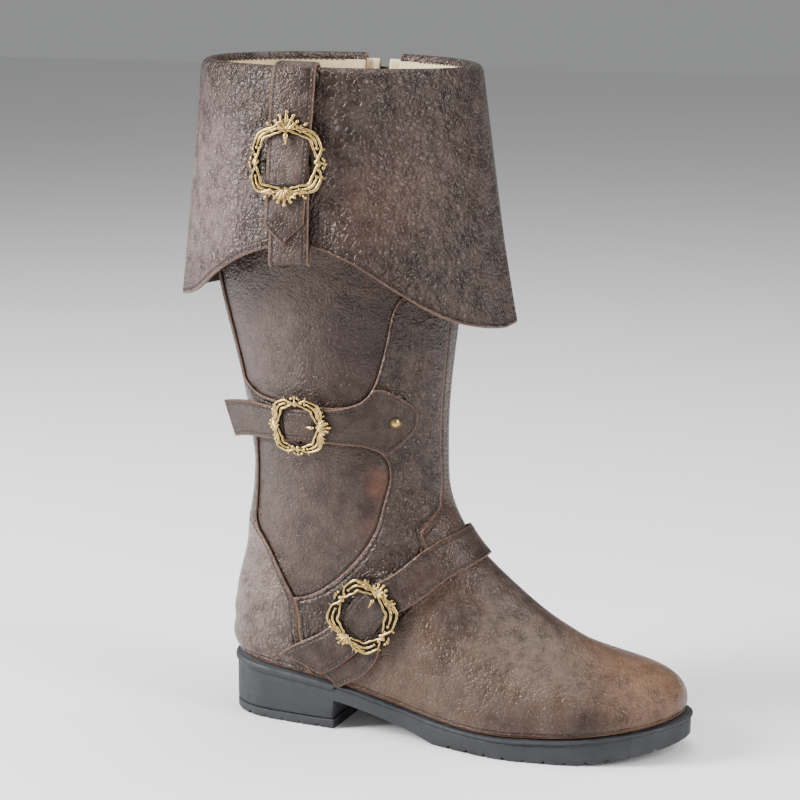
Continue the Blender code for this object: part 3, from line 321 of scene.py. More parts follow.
def ease(t):
    """0 to 1 with level ends."""
    t = np.clip(t, 0, 1)
    return t * t * (3 - 2 * t)


def cap(distance, length, power):
    """Share of the full half width near a rounded end, 0 at the end itself."""
    return (1 - np.clip(1 - distance / length, 0, 1) ** power) ** (1 / power)


def ring(v, turn):
    """Plan of one section: a body of three widths with a rounded back and front."""
    angle = np.pi * turn
    s = (1 - np.cos(angle)) / 2
    body = v["heel"] + (v["waist"] - v["heel"]) * ease((s - 0.14) / 0.26)
    body = body + (v["ball"] - v["waist"]) * ease((s - 0.40) / 0.30)
    half = 0.5 * body * cap(s, v["back_cap"], 2.0) * cap(1 - s, v["toe_cap"], v["toe_power"])
    side = np.where(np.sin(angle) >= 0, -1.0, 1.0)
    middle = v["toe"] * np.clip((s - 0.45) / 0.55, 0, 1) ** 1.5
    middle = middle - v["swing"] * np.sin(np.pi * np.clip((s - 0.1) / 0.62, 0, 1))
    x = v["back_x"] + (v["front_x"] - v["back_x"]) * s
    return x, middle + side * half, s


def bare_skin(turn, row):
    """Points of the upper's outer face, before any lift."""
    turn, row = np.broadcast_arrays(np.asarray(turn, float), np.asarray(row, float))
    values = spline(SECTIONS, row)
    v = {name: values[..., i] for i, name in enumerate(COLUMNS)}
    x, y, s = ring(v, turn)
    z = v["back_z"] + (v["front_z"] - v["back_z"]) * s
    first = FOOT_ROWS[0]
    level = (first[1] + (first[3] - first[1]) * s) * ANKLE_HEIGHT
    z = z + v["follow"] * (seat(x) + CLEAR - level)
    return np.stack([x, y, z], -1), v["follow"]


def unit(v):
    return v / np.maximum(np.linalg.norm(v, axis=-1, keepdims=True), 1e-12)


def slopes(turn, row, small=0.004):
    """How the skin's point moves for a unit of turn and for a unit of row."""
    by_turn = (bare_skin(turn + small, row)[0] - bare_skin(turn - small, row)[0]) / (2 * small)
    by_row = (bare_skin(turn, row + small * 5)[0] - bare_skin(turn, row - small * 5)[0]) / (10 * small)
    return by_turn, by_row


def skin(turn, row, lift=0.0, level=False):
    """Points at a height "lift" over the upper's outer face. Level lifts keep their height."""
    turn, row = np.broadcast_arrays(np.asarray(turn, float), np.asarray(row, float))
    point, follow = bare_skin(turn, row)
    by_turn, by_row = slopes(turn, np.maximum(row, 0.02))
    normal = np.cross(by_turn, by_row)
    flat = 0.0 if level else ease(row / 1.5)[..., None]
    plan, rise = np.ones_like(point[..., :2]), np.ones_like(point[..., :1]) * flat
    normal = unit(normal * np.concatenate([plan, rise], -1))
    lifted = point + normal * np.asarray(lift, float)[..., None]
    lifted[..., 2] += follow * (seat(lifted[..., 0]) - seat(point[..., 0]))
    return lifted


def run_along(points):
    """Length from the first point of a line to each of its points."""
    return np.concatenate([[0], np.cumsum(np.linalg.norm(np.diff(points, axis=0), axis=1))])


def read(at, run, points):
    """Points of a line at given lengths along it."""
    return np.stack([np.interp(at, run, points[:, i]) for i in range(3)], -1)


def step(turn, row, way):
    """Turn and row of the place that lies the vector "way" off along the skin."""
    parts = 4
    for _ in range(parts):
        by_turn, by_row = slopes(turn, row)
        tt, rr, tr = (by_turn**2).sum(-1), (by_row**2).sum(-1), (by_turn * by_row).sum(-1)
        t, r = (by_turn * way).sum(-1) / parts, (by_row * way).sum(-1) / parts
        whole = tt * rr - tr**2
        turn = turn + (t * rr - r * tr) / whole
        row = row + (r * tt - t * tr) / whole
    return turn, row


def lifted(grid, lift):
    """The grid's points moved along its own normals."""
    across = np.gradient(grid, axis=1)
    up = np.gradient(grid, axis=0)
    return grid + unit(np.cross(across, up)) * np.asarray(lift, float)[..., None]


def sole_ring(turn, outset=0.0):
    """Plan of the outsole, larger all round by "outset"."""
    v = dict(back_x=along(0) - outset, front_x=along(1) + outset, heel=HEEL_WIDTH + 2 * outset,
             waist=WAIST_WIDTH + 2 * outset, ball=BALL_WIDTH + 2 * outset, back_cap=0.12, toe_cap=0.299,
             toe_power=1.97, swing=WAIST_SWING, toe=TOE_SWING)
    x, y, _ = ring(v, turn)
    return x, y


def spring(x):
    """Height of the tread over the floor at x, before the arch is cut."""
    start = 0.767
    share = np.clip((x / FOOT_LENGTH + HEEL_CENTRE - start) / (1 - start), 0, 1)
    return TOE_SPRING * share**1.8


def hem(turn):
    """Share of the cuff's depth at a turn, the same on both sides."""
    folded = np.abs((np.asarray(turn, float) + 1) % 2 - 1)
    return straight(HEM, folded) if folded.ndim == 0 else spline(HEM, folded)[..., 0]


def cuff_path(turn, at):
    """The cuff's face towards the shaft: inside the collar below 0, over it, and down to the hem at 1."""
    turn, at = np.broadcast_arrays(np.asarray(turn, float), np.asarray(at, float))
    inside = at < 0
    drop = np.where(inside, -at * CUFF_LIP, at * hem(turn) * CUFF_DEPTH)
    flare = 2 * COVER_CLEAR + CUFF_FLARE * drop / CUFF_DEPTH
    lift = np.where(inside, -(WALL + 2 * COVER_CLEAR), flare)
    lift = np.where(at == 0, -WALL / 2, lift)
    row = np.where(inside, TOP_ROW - drop / (0.211 * (SHAFT_HEIGHT - ANKLE_HEIGHT)), TOP_ROW)
    point = skin(turn, row, lift, level=True)
    top = skin(turn, np.full_like(turn, TOP_ROW))[..., 2]
    point[..., 2] = top - np.where(at == 0, -CUFF_CROWN, drop)
    point[..., 0] += np.where(inside, 0, CUFF_SHIFT * drop / CUFF_DEPTH)
    return point


def trace(line):
    """A smooth line through rows of turn and row: its places, its points and the metres run so far."""
    table = np.array(line, float)
    places = spline(np.column_stack([np.arange(len(table)), table]), np.linspace(0, len(table) - 1, 240))
    points = skin(places[:, 0], places[:, 1])
    return places, points, run_along(points)


def ribbon(line, run_at, across):
    """Places on the skin beside a line of turn and row: metres along it and metres to its side."""
    places, points, run = trace(line)
    turn, row = (np.interp(run_at, run, places[:, i]) for i in (0, 1))
    ahead = read(run_at, run, np.gradient(points, run, axis=0))
    normal = unit(np.cross(*slopes(turn, row)))
    side = unit(np.cross(normal, ahead))
    return step(turn, row, side * np.asarray(across, float)[..., None])


def run_to(line, turn):
    """Metres along a line of turn and row to the place with the given turn, and its whole length."""
    places, _, run = trace(line)
    return float(np.interp(turn, places[:, 0], run)), float(run[-1])


COVER_TOP = COVER_CLEAR + COVER_THICK
STRAP_LOW = COVER_TOP + STRAP_CLEAR
BAR_TOP = STRAP_LOW + BAR_THICK
OVER_BAR = BAR_TOP + CLEAR


def frame_on_skin(spot, line_ahead):
    """A place-maker for a buckle: (along, across, lift) to a point, following the skin."""
    turn, row = spot
    by_turn, by_row = slopes(np.array(turn), np.array(row))
    normal = unit(np.cross(by_turn, by_row))
    ahead = line_ahead - normal * (line_ahead @ normal)
    ahead = unit(ahead)
    side = np.cross(normal, ahead)

    def place(along_strap, across_strap, lift):
        way = ahead * np.asarray(along_strap)[..., None] + side * np.asarray(across_strap)[..., None]
        t, r = step(turn + 0 * way[..., 0], row + 0 * way[..., 0], way)
        return skin(t, r, lift)

    return place


def cuff_face(turn, at, lift):
    """Points over the cuff's shaft-side face, "lift" away from the shaft."""
    small = 0.01
    by_turn = cuff_path(turn + small, at) - cuff_path(turn - small, at)
    by_at = cuff_path(turn, at + small) - cuff_path(turn, at - small)
    away = unit(np.cross(by_at, by_turn))
    return cuff_path(turn, at) + away * np.asarray(lift, float)[..., None]

print("rows of the skin:", int(TOP_ROW) + 1)


# %% [markdown]
# ## Soft creases
#
# Leather that has been worn or has hung on a shelf is never quite smooth. The shaft slumps a little above the
# ankle, the vamp bends across the ball, and the quarters pull in toward their seams. Each crease is listed as
# a soft trough with a ridge beside it, so that it can follow the photo.

# %% Creases, listed one by one
# middle (turn, row), reach (turn, row), tilt in rows for a unit of turn, depth in metres
CREASES = [
    (0.66, 13.05, 0.13, 0.16, 1.2, 0.00055), (0.56, 12.75, 0.12, 0.12, -0.8, 0.00045),
    (0.72, 12.55, 0.08, 0.10, 2.0, 0.00050), (0.34, 13.40, 0.10, 0.20, -1.0, 0.00040),
    (0.50, 13.80, 0.14, 0.16, 1.5, 0.00035), (0.83, 12.9, 0.06, 0.25, 1.0, 0.00045),
    (0.80, 10.9, 0.07, 0.30, -2.5, 0.00060), (0.84, 10.0, 0.06, 0.35, -3.0, 0.00065),
    (0.76, 9.2, 0.07, 0.30, -3.0, 0.00050), (0.60, 10.2, 0.10, 0.40, 1.5, 0.00045),
    (0.42, 9.2, 0.10, 0.40, 2.0, 0.00045), (0.33, 10.6, 0.08, 0.35, -1.5, 0.00040),
    (0.46, 8.0, 0.09, 0.45, 3.0, 0.00040), (0.16, 8.2, 0.07, 0.50, 4.0, 0.00050),
    (0.15, 6.3, 0.07, 0.60, 3.0, 0.00045), (0.79, 5.3, 0.06, 0.45, -6.0, 0.00060),
    (0.73, 4.4, 0.07, 0.50, -7.0, 0.00055), (0.84, 4.5, 0.05, 0.55, -6.0, 0.00060),
    (0.68, 3.1, 0.06, 0.55, -6.0, 0.00045), (0.90, 5.6, 0.05, 0.50, -4.0, 0.00045),
    (1.00, 4.6, 0.10, 0.28, 0.0, 0.00045), (1.20, 5.0, 0.08, 0.50, 6.0, 0.00055),
    (1.28, 3.9, 0.07, 0.50, 6.0, 0.00050), (1.22, 10.6, 0.10, 0.40, 2.0, 0.00050),
    (1.75, 8.0, 0.10, 0.50, -3.0, 0.00050), (1.45, 11.0, 0.10, 0.40, -2.0, 0.00045),
    (1.88, 11.4, 0.09, 0.35, 2.0, 0.00055), (1.80, 12.6, 0.10, 0.25, -1.0, 0.00050),
    (1.30, 12.8, 0.10, 0.20, 1.0, 0.00045), (0.10, 11.1, 0.08, 0.30, -2.0, 0.00045),
]


def creases(turn, row):
    """Sum of soft troughs: each is a bell in turn and row with a low ridge above it."""
    depth = np.zeros(np.broadcast(turn, row).shape)
    for middle_turn, middle_row, reach_turn, reach_row, tilt, deep in CREASES:
        t = (np.mod(turn - middle_turn + 1, 2) - 1) / reach_turn
        r = (row - middle_row - tilt * t * reach_turn) / reach_row
        bell = np.exp(-t * t - r * r)
        depth += deep * (0.75 * np.exp(-t * t - (r - 1.7) ** 2) - bell)
    return depth


print("creases:", len(CREASES))

# %% [markdown]
# ## Making a mesh from arrays
#
# Every surface below is a whole numpy array of points. One helper turns such an array into a mesh
# object, gives it its materials, lets it ride on its body and names the plain solid that it stands
# for. A second one gives a sheet its thickness, with its own finish on the cut edge and the back.

# %% Mesh helpers
def piece(name, points, faces, paints, replaces=(), body="boot", slot=None, marks=None, sharp=40):
    """A mesh object of the points and faces, with one number per point for each mark."""
    mesh = bpy.data.meshes.new(name)
    mesh.from_pydata(np.asarray(points).tolist(), [], [list(map(int, face)) for face in faces])
    for key, values in (marks or {}).items():
        mesh.attributes.new(key, "FLOAT", "POINT").data.foreach_set("value",
                                                                    np.ravel(values).astype(np.float32))
    for paint in paints:
        mesh.materials.append(paint)
    mesh.shade_smooth()
    if sharp:
        mesh.set_sharp_from_angle(angle=np.radians(sharp))
    made = bpy.data.objects.new(name, mesh)
    bpy.context.scene.collection.objects.link(made)
    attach(made, body)
    for node in replaces:
        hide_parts(node)
    return made


def thicken(made, thick, rim=1, back=2):
    """Gives an outward-facing sheet its thickness inwards: cut edge and back in their own finish."""
    wall = made.modifiers.new("wall", "SOLIDIFY")
    wall.thickness = thick
    wall.offset = -1.0
    wall.material_offset = back
    wall.material_offset_rim = rim
    return made


def grid_faces(rows, columns, closed=False):
    """Quads of a grid of points, joined into a ring if closed."""
    i, j = np.meshgrid(np.arange(rows - 1), np.arange(columns if closed else columns - 1), indexing="ij")
    k = (j + 1) % columns
    return np.stack([i * columns + j, i * columns + k, (i + 1) * columns + k, (i + 1) * columns + j],
                    -1).reshape(-1, 4)


def surface(name, grid, paints, closed=False, **more):
    """A piece from a grid of points (rows, columns, 3)."""
    rows, columns = grid.shape[:2]
    return piece(name, grid.reshape(-1, 3), grid_faces(rows, columns, closed), paints, **more)


def closed_curve(points, count=240):
    """Smooth closed outline through rows of turn and row."""
    table = np.array(points, float)
    table = np.vstack([table, table[:1]])
    run = np.concatenate([[0], np.cumsum(np.hypot(*(np.diff(table, axis=0) * (8.0, 1.0)).T))])
    return spline(np.column_stack([run, table]), np.linspace(0, run[-1], count + 1)[:-1])


# %% [markdown]
# ## Leather cut to an outline
#
# The vamp, the counter and the frame round the shaft's panels are flat leather with curved cut
# edges. Their outlines are drawn in turn and row. The inside is filled with a triangular mesh that
# is fitted to the outline (a constrained Delaunay triangulation), because a plain grid would leave
# steps along every curve. Each point also keeps its distance to the cut edge, for the finish.

# %% Cutting pattern pieces
TURN_SPAN = 0.25
LEVELS = np.linspace(0, TOP_ROW, 400)
HEIGHTS = skin(0.5, LEVELS)[:, 2]


def flatten(places):
    """Turn and row to a flat pattern about as wide and high as the leather."""
    return np.column_stack([places[:, 0] * TURN_SPAN, np.interp(places[:, 1], LEVELS, HEIGHTS)])


def unflatten(flat):
    return flat[:, 0] / TURN_SPAN, np.interp(flat[:, 1], HEIGHTS, LEVELS)


def within(points, loop):
    """True for the points inside a closed outline, by counting crossings of a ray."""
    a, b = loop, np.roll(loop, -1, axis=0)
    found = []
    for part in np.array_split(points, max(1, len(points) // 3000)):
        y = part[:, 1:2]
        crosses = (a[:, 1] > y) != (b[:, 1] > y)
        at = a[:, 0] + (b[:, 0] - a[:, 0]) * (y - a[:, 1]) / (b[:, 1] - a[:, 1] + 1e-12)
        found.append((crosses & (part[:, :1] < at)).sum(1) % 2 == 1)
    return np.concatenate(found)


def nearest(points, others):
    """Distance from each point to the nearest of the others."""
    parts = np.array_split(points, max(1, len(points) // 1500))
    return np.concatenate([np.sqrt(((part[:, None] - others[None]) ** 2).sum(-1).min(1)) for part in parts])


def pattern(outline, holes, spacing):
    """Triangles that fill an outline but not its holes: turn, row, distance to the edge, faces."""
    loops = [flatten(np.asarray(loop, float)) for loop in [outline, *holes]]
    every = np.vstack(loops)
    low, high = loops[0].min(0), loops[0].max(0)
    x, y = np.meshgrid(np.arange(low[0], high[0], spacing), np.arange(low[1], high[1], spacing * 0.87))
    x = x + (np.arange(len(x)) % 2)[:, None] * spacing / 2
    inner = np.column_stack([x.ravel(), y.ravel()])
    keep = within(inner, loops[0])
    for hole in loops[1:]:
        keep &= ~within(inner, hole)
    inner = inner[keep]
    inner = inner[nearest(inner, every) > spacing * 0.45]
    edges, start = [], 0
    for loop in loops:
        n = len(loop)
        edges += [(start + i, start + (i + 1) % n) for i in range(n)]
        start += n
    corners = [Vector(p) for p in np.vstack([every, inner])]
    found, _, faces = delaunay_2d_cdt(corners, edges, [], 0, 1e-7)[:3]
    flat, faces = np.array([p[:] for p in found]), np.array(faces)
    middle = flat[faces].mean(1)
    keep = within(middle, loops[0])
    for hole in loops[1:]:
        keep &= ~within(middle, hole)
    a, b, c = (flat[faces[:, i]] for i in range(3))
    area = (b[:, 0] - a[:, 0]) * (c[:, 1] - a[:, 1]) - (b[:, 1] - a[:, 1]) * (c[:, 0] - a[:, 0])
    faces = np.where(area[:, None] < 0, faces[:, ::-1], faces)[keep & (np.abs(area) > 1e-12)]
    used, faces = np.unique(faces, return_inverse=True)
    flat, faces = flat[used], faces.reshape(-1, 3)
    turn, row = unflatten(flat)

    return turn, row, nearest(flat, every), faces


def leather_piece(name, outline, holes, low, thick, paints, spacing=0.0026, **more):
    """A cut leather piece on the skin, its underside "low" over the form."""
    turn, row, edge, faces = pattern(outline, holes, spacing)
    points = skin(turn, row, low + thick + creases(turn, row))
    made = piece(name, points, faces, paints, marks={"edge": edge}, sharp=None, **more)
    print(name, "triangles:", len(faces))
    return thicken(made, thick)


# %% [markdown]
# ## Shared finishes: grain, mottling, edges
#
# Old leather has three scales of detail. Pebbled grain about a millimetre and a half wide catches the light
# on its tops, and the colour paints a highlight on those tops as well; cloudy wax and dye change the colour
# over several centimetres; and the leather is pale or dark in patches, some of them worn and some painted
# pools of light, with painted shade along its stitch rows and beside the pieces sewn over it. The grain and
# the clouds are node groups, built once, which put out masks and heights that every leather mixes in its own
# amounts.

# %% Node helpers
def new_group(name, inputs, outputs):
    """An empty shader node group with float inputs (name: default) and float outputs."""
    group = bpy.data.node_groups.new(name, "ShaderNodeTree")
    group.interface.new_socket("Vector", in_out="INPUT", socket_type="NodeSocketVector")
    for key, value in inputs.items():
        socket = group.interface.new_socket(key, in_out="INPUT", socket_type="NodeSocketFloat")
        socket.default_value = value
    for key in outputs:
        group.interface.new_socket(key, in_out="OUTPUT", socket_type="NodeSocketFloat")
    return group, group.nodes.new("NodeGroupInput"), group.nodes.new("NodeGroupOutput")


def node(tree, kind, settings=None, **values):
    """A node with its settings and the values of its inputs; a socket as value is linked."""
    made = tree.nodes.new("ShaderNode" + kind)
    for key, value in (settings or {}).items():
        setattr(made, key, value)
    for key, value in values.items():
        name = key.replace("_", " ")
        socket = made.inputs[int(key[1:])] if key[0] == "i" and key[1:].isdigit() else made.inputs[name]
        if isinstance(value, bpy.types.NodeSocket):
            tree.links.new(value, socket)
        else:
            socket.default_value = value
    return made


def maths(tree, operation, a, b=0.0):
    return node(tree, "Math", {"operation": operation}, i0=a, i1=b).outputs[0]


def times(tree, a, b):
    return maths(tree, "MULTIPLY", a, b)


def plus(tree, a, b):
    return maths(tree, "ADD", a, b)


def here(tree):
    """The point on the object that the shader looks at, in metres."""
    return node(tree, "TexCoord").outputs["Object"]


def ramp(tree, value, low, high, to_low=0.0, to_high=1.0):
    """Smooth step of a value from low to high."""
    made = node(tree, "MapRange", {"interpolation_type": "SMOOTHSTEP"}, Value=value, From_Min=low,
                From_Max=high,
                To_Min=to_low, To_Max=to_high)
    return made.outputs["Result"]


def blend(tree, share, a, b):
    """Colour a turned into colour b by a share."""
    made = node(tree, "Mix", {"data_type": "RGBA"}, i0=share)
    for socket, value in ((made.inputs[6], a), (made.inputs[7], b)):
        if isinstance(value, bpy.types.NodeSocket):
            tree.links.new(value, socket)
        else:
            socket.default_value = (*value, 1.0)
    return made.outputs[2]


# %% Grain of leather
grain_group, grain_in, grain_out = new_group("leather_grain", {"Pebble Scale": 560.0, "Wrinkle": 0.5},
                                             ["Height", "Tops"])
g = grain_group
warp = node(g, "TexNoise", Vector=grain_in.outputs["Vector"], Scale=260.0, Detail=2.0)
moved = node(g, "VectorMath", {"operation": "MULTIPLY_ADD"}, i0=warp.outputs["Color"],
             i1=(0.0016, 0.0016, 0.0016), i2=grain_in.outputs["Vector"])
cells = node(g, "TexVoronoi", {"feature": "SMOOTH_F1"}, Vector=moved.outputs[0],
             Scale=grain_in.outputs["Pebble Scale"], Smoothness=0.35)
cracks = node(g, "TexVoronoi", {"feature": "DISTANCE_TO_EDGE"}, Vector=moved.outputs[0],
              Scale=times(g, grain_in.outputs["Pebble Scale"], 0.42))
fine = node(g, "TexNoise", Vector=grain_in.outputs["Vector"], Scale=1900.0, Detail=2.0)
pebble = ramp(g, cells.outputs["Distance"], 0.75, 0.05)
crack = ramp(g, cracks.outputs["Distance"], 0.0, 0.16)
body_height = plus(g, times(g, pebble, 0.6), times(g, times(g, crack, grain_in.outputs["Wrinkle"]), 0.7))
height = plus(g, body_height, times(g, fine.outputs["Fac"], 0.22))
g.links.new(height, grain_out.inputs["Height"])
g.links.new(times(g, pebble, crack), grain_out.inputs["Tops"])

# %% Clouds of dye and wax
cloud_group, cloud_in, cloud_out = new_group("dye_clouds", {"Size": 18.0}, ["Broad", "Small", "Patches"])
g = cloud_group
where, size = cloud_in.outputs["Vector"], cloud_in.outputs["Size"]
broad = node(g, "TexNoise", Vector=where, Scale=size, Detail=3.0, Roughness=0.55, Distortion=0.4)
small = node(g, "TexNoise", Vector=where, Scale=times(g, size, 5.5), Detail=4.0, Roughness=0.62)
spots = node(g, "TexNoise", Vector=where, Scale=times(g, size, 2.3), Detail=6.0, Roughness=0.7)
g.links.new(ramp(g, broad.outputs["Fac"], 0.32, 0.68), cloud_out.inputs["Broad"])
g.links.new(ramp(g, small.outputs["Fac"], 0.30, 0.70), cloud_out.inputs["Small"])
g.links.new(ramp(g, spots.outputs["Fac"], 0.50, 0.66), cloud_out.inputs["Patches"])


# %% [markdown]
# ## Leathers
#
# The boot is made of one distressed leather whose look changes from piece to piece: shiny and pebbled on the
# cuff's front and over the ankle, dull grey brown on the panels, rubbed to a warm tan over the toe. One
# function mixes the shared groups; each leather gives its own colours, pebble, roughness, painted highlight,
# and patches of wear and painted light.

# %% Leather material
def plain_material(name, colour, roughness, metallic=0.0):
    paint = bpy.data.materials.new(name)
    paint.use_nodes = True
    shader = paint.node_tree.nodes["Principled BSDF"]
    shader.inputs["Base Color"].default_value = (*colour, 1.0)
    shader.inputs["Roughness"].default_value = roughness
    shader.inputs["Metallic"].default_value = metallic
    return paint, paint.node_tree, shader


def put(tree, shader, colour=None, roughness=None, height=None, distance=0.0):
    """Links a colour, a roughness and a height to the shader. The height goes through a bump."""
    normal = None
    if height is not None:
        normal = node(tree, "Bump", Distance=distance, Height=height).outputs["Normal"]
    for name, socket in (("Base Color", colour), ("Roughness", roughness), ("Normal", normal)):
        if socket is not None:
            tree.links.new(socket, shader.inputs[name])


def grained(name, colour, roughness, texture, dark, light, distance=0.0, settings=None, **values):
    """A material that a fine texture colours from dark to light, and raises by "distance"."""
    paint, tree, shader = plain_material(name, colour, roughness)
    grain = node(tree, texture, settings, Vector=here(tree), **values).outputs["Fac"]
    put(tree, shader, blend(tree, grain, dark, light), None, grain if distance else None, distance)
    return paint


EDGE_TAN = (0.150, 0.078, 0.050)
SEAM_SHADE = (0.0035, 0.0022, 0.0020)
WARM_SHINE = (1.0, 0.87, 0.80, 1.0)


def leather(name, mid, light, roughness, pebble, bump, highlight_strength, wrinkle=0.5, wear_and_light=(), seams=False):
    """Leather from DARK to mid in clouds, with a painted highlight on the pebble tops and patches of another
    tone.

    The patch list holds (place, reach in metres, colour, strength): soft balls in space that turn the colour
    to another tone, real wear in some and a painted pool of light in others. With the seam flag, the leather
    is painted darker toward the pieces sewn over it, a painted shadow by its "seam" distance.
    """
    paint, tree, shader = plain_material(name, mid, roughness)
    where = here(tree)
    grain = node(tree, "Group", {"node_tree": grain_group}, Vector=where, Pebble_Scale=pebble,
                 Wrinkle=wrinkle)
    clouds = node(tree, "Group", {"node_tree": cloud_group}, Vector=where)
    small = clouds.outputs["Small"]
    dusty = tuple(0.55 * a + 0.45 * b for a, b in zip(DARK, light))
    colour = blend(tree, clouds.outputs["Broad"], DARK, mid)
    colour = blend(tree, times(tree, small, 0.45), colour, dusty)
    colour = blend(tree, times(tree, clouds.outputs["Patches"], 0.5), colour, tuple(0.8 * c for c in DARK))
    # Each ball turns the colour to its tone: real wear in some, a painted pool of light in others.
    for place, reach, tone, strength in wear_and_light:
        away = node(tree, "VectorMath", {"operation": "DISTANCE"}, i0=where, i1=place).outputs["Value"]
        share = times(tree, ramp(tree, away, reach, reach * 0.25), strength)
        share = times(tree, share, plus(tree, times(tree, small, 0.6), 0.4))
        colour = blend(tree, share, colour, tone)
    # Painted highlight: the colour of the pebble tops is lightened toward the pale colour.
    tops = times(tree, grain.outputs["Tops"], plus(tree, times(tree, small, 0.5), 0.25))
    colour = blend(tree, times(tree, tops, highlight_strength), colour, light)
    edge = node(tree, "Attribute", {"attribute_name": "edge"}).outputs["Fac"]
    colour = blend(tree, times(tree, ramp(tree, edge, 0.0011, 0.0002), 0.8), colour, EDGE_TAN)
    # Painted shade: the band of the stitch row, 1.6 to 4 mm in from the cut edge, is darkened in colour as
    # well as sunk in the bump.
    stitched = times(tree, ramp(tree, edge, 0.0016, 0.0026), ramp(tree, edge, 0.0040, 0.0027))
    colour = blend(tree, times(tree, stitched, 0.35), colour, tuple(0.5 * c for c in DARK))
    # Painted shadow: the panel leather is darkened nearly to black close to the pieces sewn over it.
    if seams:
        away = node(tree, "Attribute", {"attribute_name": "seam"}).outputs["Fac"]
        colour = blend(tree, times(tree, ramp(tree, away, 0.0022, 0.0006), 0.85), colour, SEAM_SHADE)
    dull = plus(tree, times(tree, small, 0.16), roughness - 0.08)
    dull = maths(tree, "SUBTRACT", dull, times(tree, grain.outputs["Tops"], 0.14))
    relief = plus(tree, grain.outputs["Height"], times(tree, stitched, -1.1))
    put(tree, shader, colour, dull, plus(tree, relief, times(tree, small, 1.1)), bump)
    shader.inputs["Specular IOR Level"].default_value = 0.34
    shader.inputs["Specular Tint"].default_value = WARM_SHINE
    return paint


DARK, MID, LIGHT = (0.0080, 0.0042, 0.0032), (0.024, 0.0128, 0.0095), (0.150, 0.108, 0.094)
HEEL_LIGHT = (0.26, 0.205, 0.185)
# Panel patches: two red-brown wear spots, a darker ball on the middle of the outer panel, and two pale grey
# balls at the back that are painted light from the left.
PANEL_WEAR_AND_LIGHT = [
    ((0.079, -0.050, 0.160), 0.022, (0.170, 0.052, 0.022), 0.95),
    ((0.078, -0.046, 0.132), 0.024, (0.120, 0.045, 0.024), 0.70),
    ((0.062, -0.062, 0.250), 0.045, (0.015, 0.0085, 0.0085), 0.85),
    ((0.000, -0.050, 0.13), 0.07, (0.085, 0.058, 0.047), 0.55),
    ((-0.005, -0.055, 0.25), 0.06, (0.085, 0.060, 0.055), 0.55),
]
VAMP_RUB = [
    ((0.240, 0.0, 0.050), 0.070, (0.155, 0.080, 0.042), 0.75),
    ((0.17, -0.04, 0.080), 0.065, (0.125, 0.088, 0.066), 0.7),
    ((0.10, -0.06, 0.03), 0.07, (0.100, 0.062, 0.042), 0.6),
]
# Heel patches: a pale grey ball over the back of the heel, painted light from the left, and a warm scuff low
# down.
HEEL_WEAR_AND_LIGHT = [
    ((-0.03, -0.045, 0.090), 0.065, (0.180, 0.130, 0.115), 0.6),
    ((-0.02, -0.04, 0.035), 0.035, (0.090, 0.050, 0.032), 0.5),
]
# Cuff patches: pale balls at its back and its front, painted light from the lamps on either side, and a
# red-brown wear spot.
CUFF_WEAR_AND_LIGHT = [
    ((-0.045, -0.060, 0.34), 0.085, (0.170, 0.125, 0.120), 0.75),
    ((0.110, -0.070, 0.35), 0.050, (0.085, 0.052, 0.040), 0.55),
    ((0.085, -0.085, 0.335), 0.040, (0.075, 0.034, 0.020), 0.45),
]
STRAP_RUB = [
    ((0.03, -0.10, 0.36), 0.040, (0.110, 0.078, 0.066), 0.6),
    ((0.13, -0.06, 0.12), 0.03, (0.085, 0.060, 0.052), 0.5),
]
panel_leather = leather("panel_leather", (0.034, 0.020, 0.016), LIGHT, 0.42, 620, 0.00040, 0.30,
                        wear_and_light=PANEL_WEAR_AND_LIGHT, seams=True)
frame_leather = leather("frame_leather", MID, LIGHT, 0.34, 500, 0.00062, 0.45)
vamp_leather = leather("vamp_leather", (0.055, 0.030, 0.019), LIGHT, 0.38, 600, 0.00042, 0.34, wear_and_light=VAMP_RUB)
heel_leather = leather("heel_leather", (0.070, 0.048, 0.040), HEEL_LIGHT, 0.34, 520, 0.00055, 0.60,
                       wear_and_light=HEEL_WEAR_AND_LIGHT)
cuff_leather = leather("cuff_leather", (0.019, 0.0100, 0.0072), LIGHT, 0.34, 470, 0.00062, 0.34, 0.8,
                       CUFF_WEAR_AND_LIGHT)
strap_leather = leather("strap_leather", (0.032, 0.0175, 0.0125), LIGHT, 0.40, 760, 0.00030, 0.22,
                        wear_and_light=STRAP_RUB)
print("leathers:", [m.name for m in bpy.data.materials if m.name.endswith("leather")][:12])

# %% [markdown]
# ## Cut edges, lining, thread, rubber and brass
#
# The cut edge of the leather is raw and paler than its face, and it outlines every piece in the photo. The
# back of the leather and the lining inside are dull and fibrous. The sole is dark blue-grey rubber with a
# dusty bloom, and the buckles are cast brass, bright on the rims and nearly black in the recesses. Under the
# openwork of each buckle lies a near-black plate, a painted shadow between the rods.

# %% Other materials
raw_edge = grained("raw_edge", (0.15, 0.085, 0.055), 0.75, "TexNoise", (0.070, 0.038, 0.025),
                   (0.210, 0.120, 0.080), 0.0001, Scale=900.0, Detail=3.0)
flesh_side = grained("flesh_side", (0.030, 0.021, 0.016), 0.9, "TexNoise", (0.016, 0.011, 0.009),
                     (0.050, 0.035, 0.026), 0.0002, Scale=1300.0, Detail=4.0)
thread = grained("waxed_thread", (0.030, 0.018, 0.012), 0.55, "TexWave", (0.016, 0.009, 0.007),
                 (0.060, 0.034, 0.022), settings={"bands_direction": "DIAGONAL"}, Scale=1500.0)
tape_cloth = grained("zip_tape", (0.02, 0.017, 0.016), 0.9, "TexWave", (0.012, 0.010, 0.009),
                     (0.045, 0.038, 0.034), 0.0001, settings={"bands_direction": "Z"}, Scale=900.0)

